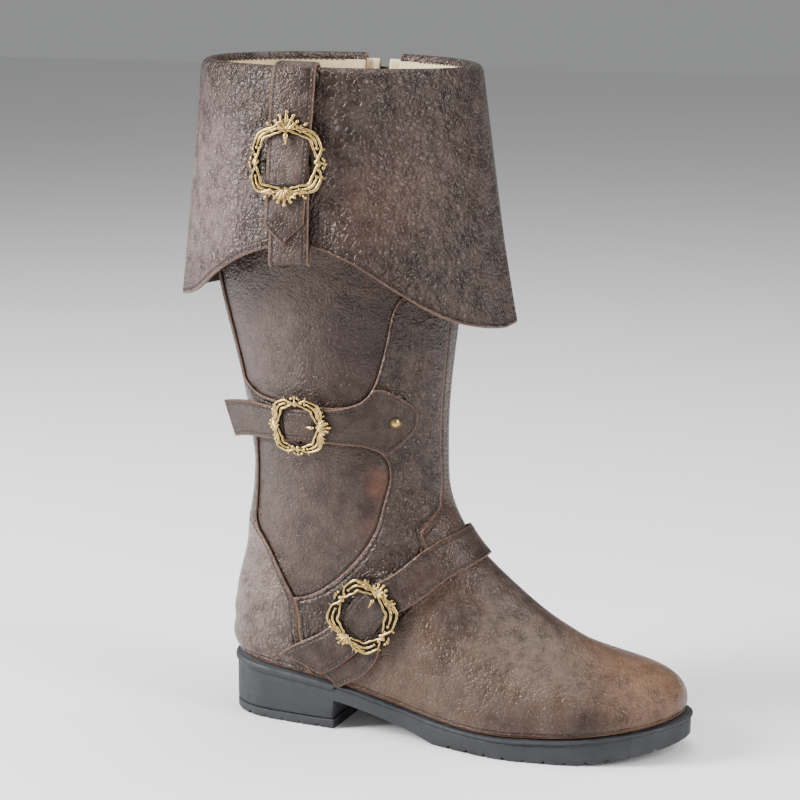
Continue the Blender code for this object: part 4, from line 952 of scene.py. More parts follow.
lining, tree, shader = plain_material("cream_lining", (0.62, 0.50, 0.30), 0.72)
where = here(tree)
pores = node(tree, "TexVoronoi", Vector=where, Scale=700.0).outputs["Distance"]
clouds = node(tree, "Group", {"node_tree": cloud_group}, Vector=where)
tone = blend(tree, clouds.outputs["Broad"], (0.50, 0.38, 0.21), (0.70, 0.57, 0.36))
pitted = times(tree, ramp(tree, pores, 0.25, 0.0), 0.35)
put(tree, shader, blend(tree, pitted, tone, (0.36, 0.27, 0.15)), None, pores, 0.00008)

rubber, tree, shader = plain_material("sole_rubber", (0.035, 0.038, 0.046), 0.7)
where = here(tree)
clouds = node(tree, "Group", {"node_tree": cloud_group}, Vector=where, Size=26.0)
skin_grain = node(tree, "TexNoise", Vector=where, Scale=1500.0, Detail=3.0)
base = blend(tree, clouds.outputs["Broad"], (0.007, 0.0075, 0.0095), (0.016, 0.017, 0.021))
dusty = blend(tree, times(tree, clouds.outputs["Small"], 0.4), base, (0.032, 0.033, 0.037))
dull = ramp(tree, clouds.outputs["Small"], 0.0, 1.0, 0.58, 0.80)
put(tree, shader, dusty, dull, skin_grain.outputs["Fac"], 0.00012)

brass, tree, shader = plain_material("antique_brass", (0.62, 0.47, 0.22), 0.30, 1.0)
where = here(tree)
clouds = node(tree, "Group", {"node_tree": cloud_group}, Vector=where, Size=90.0)
high = node(tree, "Attribute", {"attribute_name": "high"}).outputs["Fac"]
worn = times(tree, ramp(tree, high, 0.46, 1.05), ramp(tree, clouds.outputs["Small"], -0.6, 0.7))
cast = node(tree, "TexNoise", Vector=where, Scale=1400.0, Detail=3.0)
put(tree, shader, blend(tree, worn, (0.018, 0.011, 0.005), (0.56, 0.385, 0.145)),
    ramp(tree, worn, 0.0, 1.0, 0.55, 0.24), cast.outputs["Fac"], 0.00006)

# Painted shadow: a near-black plate under the openwork of each buckle stands in for the shade between the
# rods.
openwork_shadow, tree, shader = plain_material("openwork_shadow_plate", (0.020, 0.015, 0.010), 0.55, 0.6)
small = node(tree, "Group", {"node_tree": cloud_group}, Vector=here(tree), Size=200.0).outputs["Small"]
put(tree, shader, blend(tree, small, (0.004, 0.003, 0.002), (0.022, 0.015, 0.008)))

zip_brass, tree, shader = plain_material("zip_brass", (0.12, 0.090, 0.050), 0.38, 1.0)
small = node(tree, "Group", {"node_tree": cloud_group}, Vector=here(tree), Size=220.0).outputs["Small"]
put(tree, shader, blend(tree, small, (0.030, 0.022, 0.013), (0.22, 0.165, 0.090)),
    ramp(tree, small, 0.0, 1.0, 0.50, 0.30))
print("materials:", len(bpy.data.materials))

# %% [markdown]
# ## The upper with its lining
#
# Foot and shaft are one leather wall, lined with cream leather. It is a grid of turn and row that
# opens along the zip on the inner side: each row starts at one side of the slot and goes round to
# the other. The wall gets its thickness inwards, and the back of it is the lining.

# %% Upper
UPPER_FINE = np.concatenate([np.linspace(0, 9, 90)[:-1], np.linspace(9, TOP_ROW, 120)])


def zip_turn(row):
    """Turn of the zip's middle line at a row."""
    table = np.array(ZIP_LINE)
    return np.interp(row, table[:, 0], table[:, 1])


def metres_per_turn(turn, row):
    return np.linalg.norm(slopes(turn, row)[0], axis=-1)


def seam_distance(turn, row):
    """Metres on the flat pattern from a place on the skin to the nearest edge of a window or cover."""
    rows = np.linspace(0.1, 15.3, 320)
    vamp_turn = np.interp(rows, *np.array(VAMP_EDGE).T)
    heel_rows = np.linspace(0.1, 9.4, 160)
    heel_turn = np.interp(heel_rows, *np.array(COUNTER_EDGE).T)
    lines = [closed_curve(UPPER_WINDOW), closed_curve(LOWER_WINDOW), closed_curve(INNER_WINDOW),
             np.column_stack([vamp_turn, rows]), np.column_stack([2 - vamp_turn, rows]),
             np.column_stack([heel_turn, heel_rows]), np.column_stack([2 - heel_turn, heel_rows])]
    places = np.column_stack([np.mod(turn, 2).ravel(), row.ravel()])
    return nearest(flatten(places), flatten(np.vstack(lines))).reshape(turn.shape)


slot_open = np.where(UPPER_FINE > ZIP_LINE[0][0], ZIP_SLOT / 2, 0.0)
half_slot = slot_open / metres_per_turn(zip_turn(UPPER_FINE), UPPER_FINE)
share = np.linspace(0, 1, 241)
first = (zip_turn(UPPER_FINE) + half_slot)[:, None]
turns = first + (2 - 2 * half_slot)[:, None] * share
rows = UPPER_FINE[:, None] + 0 * turns
upper = surface("upper_leather", skin(turns % 2, rows, creases(turns, rows)), [panel_leather, raw_edge,
                                                                               lining],
                replaces=["upper"], slot="upper_leather", marks={"edge": 0 * turns + 0.02,
                                                                 "seam": seam_distance(turns, rows)})
upper.modifiers.new("closed_seam", "WELD").merge_threshold = 1e-5
thicken(upper, WALL)
print("upper points:", turns.size)

# %% [markdown]
# ## Vamp, counter and shaft frame
#
# These lie on the upper as a second layer with raw edges. The vamp runs back in a tab under the
# instep strap and up the front as a narrow strip. The frame leaves two panels free on the outer
# side and one round the zip.

# %% Outlines and overlays
def edge_line(table, soft, start=0.0):
    """Fine rows of an edge, rounded by a running mean that is wide below row "soft"."""
    table = np.array(table, float)
    row = np.linspace(start, table[-1, 0], 260)
    at = np.linspace(-1, 1, 21)
    reach = np.where(row < soft, 0.55, 0.10) * np.minimum(1, (row - start) / 0.4 + 0.02)
    spread = np.interp(row[:, None] + at * reach[:, None], table[:, 0], table[:, 1])
    return np.column_stack([spread.mean(1), row])


def level(first, last, count, row):
    """A line of places at one row, from one turn to another."""
    return np.column_stack([np.linspace(first, last, count), np.full(count, row)])


def mirrored(line, about):
    """The line's other side, run backwards: turns t become about - t."""
    return np.column_stack([about - line[:, 0], line[:, 1]])[::-1]


FOOT_TOP = 0.06
STRIP_SIDE = 0.945  # turn of the front strip's side at the collar
HEEL_SIDE = 0.300  # turn where the counter meets the sole
vamp_side = edge_line(VAMP_EDGE, 7.6)
vamp_side = np.vstack([vamp_side[vamp_side[:, 1] >= FOOT_TOP], [[STRIP_SIDE, COVER_END]]])
vamp_other = mirrored(vamp_side, 2)
counter_side = edge_line(COUNTER_EDGE, 8.9)
counter_side = counter_side[counter_side[:, 1] >= FOOT_TOP]
counter_top = np.array([(0.045, 9.46), (0.0, 9.48)])
counter_half = np.vstack([counter_side, counter_top])
counter_other = mirrored(counter_half[:-1], 0)
counter_line = np.vstack([counter_half, counter_other])
base_front = level(vamp_other[-1, 0], vamp_side[0, 0], 160, FOOT_TOP)[1:-1]
base_heel = level(-counter_half[0, 0], counter_half[0, 0], 110, FOOT_TOP)[1:-1]
top_front = level(STRIP_SIDE, 1.055, 12, COVER_END)[1:-1]

vamp_line = np.vstack([vamp_side, top_front, vamp_other, base_front])
leather_piece("vamp_leather", vamp_line, [], COVER_CLEAR, COVER_THICK,
              [vamp_leather, raw_edge, flesh_side], replaces=["vamp"], slot="vamp_leather")
leather_piece("counter_leather", np.vstack([counter_line, base_heel]), [], COVER_CLEAR, COVER_THICK,
              [heel_leather, raw_edge, flesh_side], replaces=["counter"], slot="counter_leather")

left, right = vamp_side.copy(), vamp_side.copy()
left[:, 0] *= -1
seam_gap = 0.0012
right[:, 0] -= seam_gap
left[:, 0] += seam_gap
base_outer = level(HEEL_SIDE, right[0, 0], 16, FOOT_TOP)[:-1]
base_inner = level(left[0, 0], -HEEL_SIDE, 16, FOOT_TOP)[1:]
top_line = level(0.943, -0.943, 200, COVER_END)[1:-1]
under_heel = level(-HEEL_SIDE, HEEL_SIDE, 60, FOOT_TOP)[1:-1]
frame_outline = np.vstack([base_outer, right, top_line, left[::-1], base_inner, under_heel])
heel_gap = np.array((seam_gap, 0.0))
heel_hole = np.vstack([counter_half + heel_gap, counter_other - heel_gap, [(-0.31, -0.5), (0.31, -0.5)]])
upper_window = closed_curve(UPPER_WINDOW)
lower_window = closed_curve(LOWER_WINDOW)
inner_window = closed_curve(INNER_WINDOW) - np.array((2.0, 0.0))
slot_rows = np.linspace(ZIP_LINE[0][0], COVER_END + 0.3, 90)
slot_half = ZIP_SLOT / 2 / metres_per_turn(zip_turn(slot_rows), slot_rows)
slot_line = np.vstack([np.column_stack([zip_turn(slot_rows) - 2 - slot_half, slot_rows]),
                       np.column_stack([zip_turn(slot_rows) - 2 + slot_half, slot_rows])[::-1]])
frame_holes = [upper_window, lower_window, inner_window, heel_hole, slot_line]
leather_piece("frame_leather", frame_outline, frame_holes, COVER_CLEAR, COVER_THICK,
              [frame_leather, raw_edge, flesh_side],
              replaces=["shaft_overlay"], slot="overlay_leather", spacing=0.0030)

# %% [markdown]
# ## Stitches
#
# Each seam is a row of short lock stitches about two and a half millimetres inside the cut edge.
# A stitch is one small capsule of few faces, and a whole row of them is made at once: the same
# capsule, placed by arrays of middle, direction and height.

# %% Stitch helper
def capsule(sides=6):
    """Points and faces of a capsule one unit long, half a unit wide, lying along X."""
    at = np.array([(-0.5, 0.0), (-0.42, 0.7), (-0.2, 1.0), (0.2, 1.0), (0.42, 0.7), (0.5, 0.0)])
    angle = np.arange(sides) * 2 * np.pi / sides
    points = np.stack([at[:, :1] + 0 * angle, at[:, 1:] * np.cos(angle), at[:, 1:] * np.sin(angle)], -1)
    return points.reshape(-1, 3), grid_faces(len(at), sides, True)[:, ::-1]


LOOK = 0.001  # metres to either side that give a stitch its direction
stitch_sets = []


def repeated(faces, count, number):
    """The faces of one shape with "count" points, moved on for each of a number of copies."""
    return (faces[None] + (np.arange(number) * count)[:, None, None]).reshape(-1, 4)


def stitches(path, up, pitch=0.0031, length=0.0023, wide=0.00030, proud=0.00006):
    """Stitches along a line of points, "up" away from the leather at each of them."""
    run = run_along(path)
    at = np.arange(pitch / 2, run[-1], pitch)
    middle, height = read(at, run, path), unit(read(at, run, up))
    ahead = unit(read(at + LOOK, run, path) - read(at - LOOK, run, path))[:, None]
    side = np.cross(height, ahead[:, 0])[:, None]
    shape, faces = capsule()
    points = middle[:, None] + shape[None, :, :1] * ahead * length + shape[None, :, 1:2] * side * wide
    points = points + (shape[None, :, 2:] * wide * 0.7 + proud) * height[:, None]
    stitch_sets.append((points, faces))


def skin_stitches(line, inset, lift, **more):
    """Stitches on the boot beside a line of turn and row, "inset" metres to its left."""
    turn, row = np.asarray(line, float).T
    path = skin(turn, row)
    normal = unit(np.cross(*slopes(turn, row)))
    ahead = unit(np.gradient(path, axis=0))
    side = unit(np.cross(normal, ahead))
    turn, row = step(turn, row, side * inset)
    keep = row > 0.15
    turn, row = turn[keep], row[keep]
    stitches(skin(turn, row, lift + creases(turn, row)), unit(np.cross(*slopes(turn, row))), **more)


INSET = 0.0026
ring_of = lambda loop: np.vstack([loop, loop[:1]])
skin_stitches(vamp_side[vamp_side[:, 1] < 15.2], -INSET, COVER_TOP)
skin_stitches(vamp_other[vamp_other[:, 1] < 15.2], -INSET, COVER_TOP)
skin_stitches(counter_line, INSET, COVER_TOP)
skin_stitches(ring_of(upper_window), -INSET, COVER_TOP)
skin_stitches(lower_window[(lower_window[:, 0] > 0.333) | (lower_window[:, 1] > 9.5)], -INSET, COVER_TOP)
skin_stitches(ring_of(inner_window), INSET, COVER_TOP)
print("stitches so far:", sum(len(s[0]) for s in stitch_sets))

# %% [markdown]
# ## The turned-down cuff
#
# The cuff is a wide tube of soft leather folded over the collar. Its hem dips at the front and the
# back and rises over the strap, and it flares, so that its free edge waves a little. The grid
# follows the fold: a few rows down inside the collar, an arc over the wall, then the long skirt.

# %% Cuff
# depth in metres, turn, its reach, step down the cuff, its reach
CUFF_DENTS = [
    (-0.0009, 0.30, 0.05, 0.55, 0.25), (-0.0010, 0.72, 0.05, 0.45, 0.30), (0.0008, 0.62, 0.04, 0.62, 0.30),
]


def cuff_waves(turn, at):
    """Soft folds of the skirt in metres: broad waves that grow toward the hem, and a few dents."""
    down = np.clip(at, 0, 1) ** 1.4
    folded = np.mod(turn, 2)
    wave = 0.0011 * np.sin(2 * np.pi * (folded * 3.1 + 0.18))
    wave = wave + 0.0007 * np.sin(2 * np.pi * (folded * 6.7 - 0.2 + 0.3 * at))
    corner = 0.0030 * np.exp(-(((folded - 1.02 - 0.02 * at) / 0.022) ** 2))
    corner = corner - 0.0020 * np.exp(-(((folded - 0.955) / 0.03) ** 2))
    dents = 0.0
    for deep, middle, wide, down_at, tall in CUFF_DENTS:
        dents = dents + deep * np.exp(-(((folded - middle) / wide) ** 2) - ((at - down_at) / tall) ** 2)
    return down * (wave + corner) + dents * (at > 0)


def fold_path(turn, at):
    """The cuff's face towards the shaft with a round arc over the wall between steps -0.02 and 0.02."""
    low, high = cuff_path(turn, np.full_like(turn, -0.02)), cuff_path(turn, np.full_like(turn, 0.02))
    share = np.clip((at + 0.02) / 0.04, 0, 1)[..., None]
    over = (low + high) / 2 + (low - high) / 2 * np.cos(np.pi * share)
    over = over + np.array([0, 0, 1.0]) * (CUFF_CROWN + 0.0005) * np.sin(np.pi * share)
    return np.where((at > -0.02)[..., None] & (at < 0.02)[..., None], over,
                    cuff_path(turn, np.where(np.abs(at) < 0.02, 0.02, at)))


cuff_at = np.concatenate([np.linspace(-1, -0.10, 8)[:-1], np.linspace(-0.10, -0.02, 4),
                          np.linspace(-0.02, 0.02, 9)[1:], np.linspace(0.02, 1.0, 110)[1:]])
cuff_split = np.interp(cuff_at, (-1, 0, 1), (CUFF_SPLIT_TOP, CUFF_SPLIT_TOP,
                                             CUFF_SPLIT_HEM)) / metres_per_turn(np.array(ZIP_TURN),
                                                                                np.array(TOP_ROW))
cuff_turn = ZIP_TURN + cuff_split[:, None] + (2 - 2 * cuff_split)[:, None] * np.linspace(0, 1, 300)
at = cuff_at[:, None] + 0 * cuff_turn
grid = fold_path(cuff_turn % 2, at)
grid = lifted(grid, -CUFF_THICK - cuff_waves(cuff_turn, at))
from_hem = (1 - at) * hem(cuff_turn % 2) * CUFF_DEPTH
from_split = np.minimum(cuff_turn - cuff_turn[:, :1], cuff_turn[:, -1:] - cuff_turn) * 0.26
edge = np.minimum(from_hem, from_split)
cuff = surface("cuff_leather", grid[:, ::-1], [cuff_leather, raw_edge, flesh_side, lining, raw_edge,
                                               lining], replaces=["cuff"],
               slot="cuff_leather", marks={"edge": edge[:, ::-1]})
LINING_START = -0.10
is_lining = np.repeat((cuff_at[:-1] < LINING_START)[:, None], cuff_turn.shape[1] - 1, axis=1)
cuff.data.polygons.foreach_set("material_index", np.where(is_lining, 3, 0).ravel().astype(np.int32))
thicken(cuff, CUFF_THICK)
turn_line = np.linspace(ZIP_TURN + 0.10, ZIP_TURN + 1.90, 700)
hem_at = 1 - 0.0030 / (hem(turn_line % 2) * CUFF_DEPTH)
hem_grid = lambda step_down: cuff_path(turn_line % 2, hem_at + step_down)
hem_normal = unit(np.cross(hem_grid(0.01) - hem_grid(-0.01), np.gradient(hem_grid(0), axis=0)))
hem_points = hem_grid(0) + hem_normal * (CUFF_THICK + cuff_waves(turn_line, hem_at))[:, None]
stitches(hem_points, hem_normal)
lip_points = skin(turn_line % 2, TOP_ROW, -(WALL + 2 * COVER_CLEAR + CUFF_THICK),
                  level=True) - np.array([0, 0, CUFF_LIP * 0.10])
stitches(lip_points, -unit(np.cross(*slopes(turn_line % 2, np.full_like(turn_line, TOP_ROW)))),
         pitch=0.0034, length=0.0027, wide=0.0005)
print("cuff box:", np.round(grid.reshape(-1, 3).min(0), 4), np.round(grid.reshape(-1, 3).max(0), 4))

# %% [markdown]
# ## Straps
#
# The three straps are narrow strips with raw edges and a stitch row along each side. A strip is a
# grid whose rows run across it. It follows the form under it, bows a little toward its edges, and
# keeps for each point its distance to the nearest cut edge. The strap over the cuff ends in a
# point, the tail over the instep is cut aslant, and the strap at the ankle widens to a riveted yoke.

# %% Strips of leather
def margins(grid):
    """Distance of each point of a strip from its nearest side, measured along the grid's lines."""
    found = []
    for axis in (0, 1):
        legs = np.linalg.norm(np.diff(grid, axis=axis), axis=-1)
        start = np.zeros_like(np.take(legs, [0], axis=axis))
        run = np.concatenate([start, np.cumsum(legs, axis=axis)], axis=axis)
        found += [run, np.take(run, [-1], axis=axis) - run]
    return np.minimum.reduce(found)


def normals_of(grid):
    """Normals of a grid that has its columns along the strip and its rows across it."""
    return unit(np.cross(np.gradient(grid, axis=1), np.gradient(grid, axis=0)))


def outward(grid, column):
    """+1 if the grid's normals point away from the boot's outer side, else -1."""
    return np.sign(normals_of(grid)[len(grid) // 2, column] @ np.array([0, -1.0, 0]))


def strip_line(grid, share):
    """The line of points at a share of a strip's width."""
    index = np.broadcast_to(np.asarray(share) * (len(grid) - 1), grid.shape[1])
    low = np.clip(index.astype(int), 0, len(grid) - 2)
    part, column = (index - low)[:, None], np.arange(grid.shape[1])
    return grid[low, column] * (1 - part) + grid[low + 1, column] * part


def strip(name, grid, thick, replaces, up=1.0, inset=INSET, span=(0.0, 1.0)):
    """A strap from the grid of its outer face, with a stitch row inside each of its long sides."""
    face = grid if up > 0 else grid[:, ::-1]
    width = np.linalg.norm(np.diff(grid, axis=0), axis=-1).sum(0)
    made = surface(name, face, [strap_leather, raw_edge, flesh_side], replaces=replaces, slot="strap_leather",
                   marks={"edge": margins(face)})
    thicken(made, thick)
    normal = normals_of(grid) * up
    first, last = (int(s * grid.shape[1]) for s in span)
    for share in (inset / width, 1 - inset / width):
        path, away = strip_line(grid, share)[first:last], strip_line(normal, share)[first:last]
        stitches(path, unit(away))
    return made


def bow(across):
    """Drop of a strip's face toward its edges: none in the middle, a quarter millimetre at the side."""
    return -0.00025 * np.abs(2 * across) ** 6


ACROSS = np.linspace(-0.5, 0.5, 15)
CUFF_TURN_METRES = float(metres_per_turn(np.array(CUFF_STRAP[0][1]), np.array(TOP_ROW)))
CUFF_BUCKLE_TURN = float(straight([(r[0], r[1]) for r in CUFF_STRAP], CUFF_BUCKLE_STEP))
CUFF_BUCKLE_DEPTH = CUFF_DEPTH * float(hem(CUFF_BUCKLE_TURN))
CUFF_LOW = CUFF_THICK + STRAP_CLEAR
CUFF_OVER = CUFF_LOW + STRAP_THICK + CLEAR

# %% Strap over the cuff and its keeper
# The pointed tip in steps down the cuff, and its width in shares of the full strap
TIP_START, TIP_END, TIP_LENGTH, TIP_SHARE = 0.86, 0.995, 0.125, 0.83
table = np.array(CUFF_STRAP)
index = np.concatenate([np.linspace(0, 1, 8)[:-1], np.linspace(1, 3, 9)[:-1],
                        np.linspace(3, len(table) - 1, 150)])
at, turn, share = (np.interp(index, np.arange(len(table)), table[:, i]) for i in range(3))
point = TIP_SHARE * np.clip((TIP_END - at) / TIP_LENGTH, 0.02, 1) ** 0.95
share = np.where(at > TIP_START, point, share)
spread = turn + ACROSS[:, None] * share * CUFF_STRAP_WIDTH / CUFF_TURN_METRES
reach = CUFF_FRAME[0] / CUFF_BUCKLE_DEPTH
lift = CUFF_LOW + (CUFF_OVER - CUFF_LOW) * ease(1 - (CUFF_BUCKLE_STEP - reach - at) / reach)
lift = lift + STRAP_THICK + cuff_waves(spread, at) + bow(ACROSS)[:, None]
base = fold_path(spread, at + 0 * spread)
face = base + normals_of(base) * lift[..., None] * outward(base, 60)
strip("cuff_strap_leather", face, STRAP_THICK, ["cuff_strap"], up=outward(face, 60), span=(0.06, 0.93))

hang = KEEPER_HANG / CUFF_BUCKLE_DEPTH
start = CUFF_BUCKLE_STEP + 1.5 * BAR_WIDTH / CUFF_BUCKLE_DEPTH
inner = -2 * CLEAR
arc = np.linspace(0, np.pi, 14)[1:-1]
keeper_at = np.concatenate([np.linspace(start, 1 + hang, 34), 1 + hang + 0.30 * hang * np.sin(arc),
                            np.linspace(1 + hang, 1 - 2 * hang, 14)])
keeper_lift = np.concatenate([0 * np.arange(34) + CUFF_LOW, (CUFF_LOW + inner) / 2
                              + (CUFF_LOW - inner) / 2 * np.cos(arc), 0 * np.arange(14) + inner])
spread = KEEPER_TURN + ACROSS[:, None] * KEEPER_WIDTH / CUFF_TURN_METRES + 0 * keeper_at
line = cuff_face(spread, keeper_at + 0 * spread, keeper_lift + 0 * spread)
side = outward(line, 10)
face = line + normals_of(line) * side * (STRAP_THICK - CLEAR)
strip("keeper_leather", face, STRAP_THICK - CLEAR, ["cuff_keeper"], up=side, span=(0.0, 0.75))

# %% Yoke and strap at the ankle
table = np.array(YOKE)
index = np.linspace(0, len(table) - 1, 240)
kernel = np.ones(9) / 9
smooth = lambda v: np.convolve(np.pad(v, 4, mode="edge"), kernel, mode="valid")
turn, low_row, high_row = (smooth(np.interp(index, np.arange(len(table)), table[:, i])) for i in range(3))
share = ACROSS[:, None] + 0.5
rows = low_row + (high_row - low_row) * share
ankle_metres = float(metres_per_turn(np.array(ANKLE_BUCKLE_AT[0]), np.array(ANKLE_BUCKLE_AT[1])))
ahead = (turn - ANKLE_BUCKLE_AT[0]) * ankle_metres
hump = ease(1 - (ahead - ANKLE_FRAME[0]) / ANKLE_FRAME[0])
lift = STRAP_LOW + (OVER_BAR - STRAP_LOW) * hump + STRAP_THICK + bow(ACROSS)[:, None]
grid = skin(turn + 0 * rows, rows, lift)
off = unit((grid[:, -1] - grid[:, -6]).mean(axis=0))
length = ANKLE_TAIL - ANKLE_SKEW * (1 - share) * np.linalg.norm(grid[-1, -1] - grid[0, -1])
run = np.linspace(0, 1, 40)[1:]
tail = grid[:, -1:] + off * (length * run)[..., None] - np.array([0, 0, TAIL_DROP]) * (run**2)[:, None]
tail = tail + np.array([0, -0.0012, 0]) * (ease(run) * 1.0)[:, None]
face = np.concatenate([grid, tail], axis=1)
ANKLE_UP = outward(face, 120)
strip("ankle_strap_leather", face, STRAP_THICK, ["ankle_strap"], up=ANKLE_UP, span=(0.05, 0.97))

# %% Strap over the instep and its chape
bend_at, whole = run_to(INSTEP_LINE, INSTEP_BUCKLE_AT[0])
reach = INSTEP_FRAME[0]
run = np.linspace(0, whole, 260)
across = -ACROSS[:, None] * INSTEP_STRAP_WIDTH
fade = np.clip(1 - run / (1.2 * INSTEP_STRAP_WIDTH), 0, 1)
run_at = run + INSTEP_SKEW * (INSTEP_STRAP_WIDTH / 2 - across) * fade
turn, row = ribbon(INSTEP_LINE, run_at, across + 0 * run_at)
INSTEP_OVER = max(STRAP_LOW + STRAP_THICK + CLEAR, OVER_BAR)
low = STRAP_LOW + INSTEP_ROOM
lift = low + (INSTEP_OVER - low) * ease(1 - (run - bend_at - reach) / reach) + STRAP_THICK
face = skin(turn, row, lift + 0 * turn + bow(ACROSS)[:, None])
INSTEP_UP = outward(face, 60)
strip("instep_strap_leather", face, STRAP_THICK, ["instep_strap"], up=INSTEP_UP, span=(0.02, 0.99))

_, whole = run_to(CHAPE_LINE, 0.4)
run = np.linspace(0, whole, 50)
rounded = np.minimum(1, np.sqrt(np.maximum(0.0, 1 - (np.clip(0.0035 - run, 0, 1) / 0.0035) ** 2)) * 0.3 + 0.7)
across = -ACROSS[:, None] * CHAPE_WIDTH * rounded
turn, row = ribbon(CHAPE_LINE, run + 0 * across, across)
face = skin(turn, row, STRAP_LOW + STRAP_THICK - CLEAR + 0 * turn)
strip("chape_leather", face, STRAP_THICK - CLEAR, ["instep_chape"], up=outward(face, 20), span=(0.05, 0.8))

# %% [markdown]
# ## Cast scroll buckles
#
# The buckles are openwork castings in a baroque scroll manner: two strands braided round the
# window that open into a loop at each corner, small curls and leaves along the edge, and a fan of
# lobes at each end. Everything is a round rod carried along a curve, or a drop-shaped bead. The
# curves are drawn in the buckle's own plane (along the strap, across it, height) and then laid on
# the boot. Each point keeps how high it stands, so that the finish is bright on the rods' backs
# and black between them.

# %% Rods and beads
def rod(path, radius, closed=False, sides=8):
    """A round rod along a path of (along, across, height), with one radius for each point."""
    path = np.asarray(path, float)
    radius = np.broadcast_to(radius, len(path))
    if closed:
        ahead = unit(np.roll(path, -1, axis=0) - np.roll(path, 1, axis=0))
    else:
        ahead = unit(np.gradient(path, axis=0))
    up = np.array([0, 0, 1.0])
    side = unit(np.cross(up, ahead))
    high = np.cross(ahead, side)
    angle = np.arange(sides) * 2 * np.pi / sides
    points = path[:, None] + radius[:, None, None] * (np.cos(angle)[:, None] * side[:, None]
                                                      + np.sin(angle)[:, None] * high[:, None])
    count = len(path)
    faces = grid_faces(count, sides, True)[:, ::-1].tolist()
    if closed:
        j = np.arange(sides)
        last = (count - 1) * sides
        faces += np.stack([last + (j + 1) % sides, last + j, j, (j + 1) % sides], -1)[:, ::-1].tolist()
    else:
        faces += [list(range(sides)), list(range((count - 1) * sides, count * sides))[::-1]]
    return points.reshape(-1, 3), faces


def bead(middle, half, turn=0.0, sides=10, rings=7):
    """A drop-shaped bead: an egg of three half sizes, turned in the plane of the buckle."""
    polar = np.linspace(0.02, np.pi - 0.02, rings)[:, None]
    angle = np.arange(sides) * 2 * np.pi / sides
    x = np.cos(polar) + 0 * angle
    y, z = np.sin(polar) * np.cos(angle), np.sin(polar) * np.sin(angle)
    u, v, w = x * half[0], y * half[1], z * half[2]
    c, s = np.cos(turn), np.sin(turn)
    points = np.stack([middle[0] + u * c - v * s, middle[1] + u * s + v * c, middle[2] + w], -1)
    faces = grid_faces(rings, sides, True)[:, ::-1].tolist()
    faces += [list(range(sides)), list(range((rings - 1) * sides, rings * sides))[::-1]]
    return points.reshape(-1, 3), faces


def joined(parts):
    points, faces, base = [], [], 0
    for found, quads in parts:
        points.append(found)
        faces += [[base + i for i in quad] for quad in quads]
        base += len(found)
    return np.concatenate(points), faces


def squircle(half, angle, power):
    """A rounded oblong: power 2 is an ellipse, a high power nearly a rectangle."""
    c, s = np.cos(angle), np.sin(angle)
    size = (np.abs(c) ** power + np.abs(s) ** power) ** (-1 / power)
    return half[0] * size * c, half[1] * size * s


ROD = 0.00086
INNER_POWER, OUTER_POWER, PLATE_POWER = 6.0, 2.7, 7.0


def curve(half, angle, power):
    """Points of a rounded oblong, one for each angle."""
    return np.stack(squircle(half, angle, power), -1)


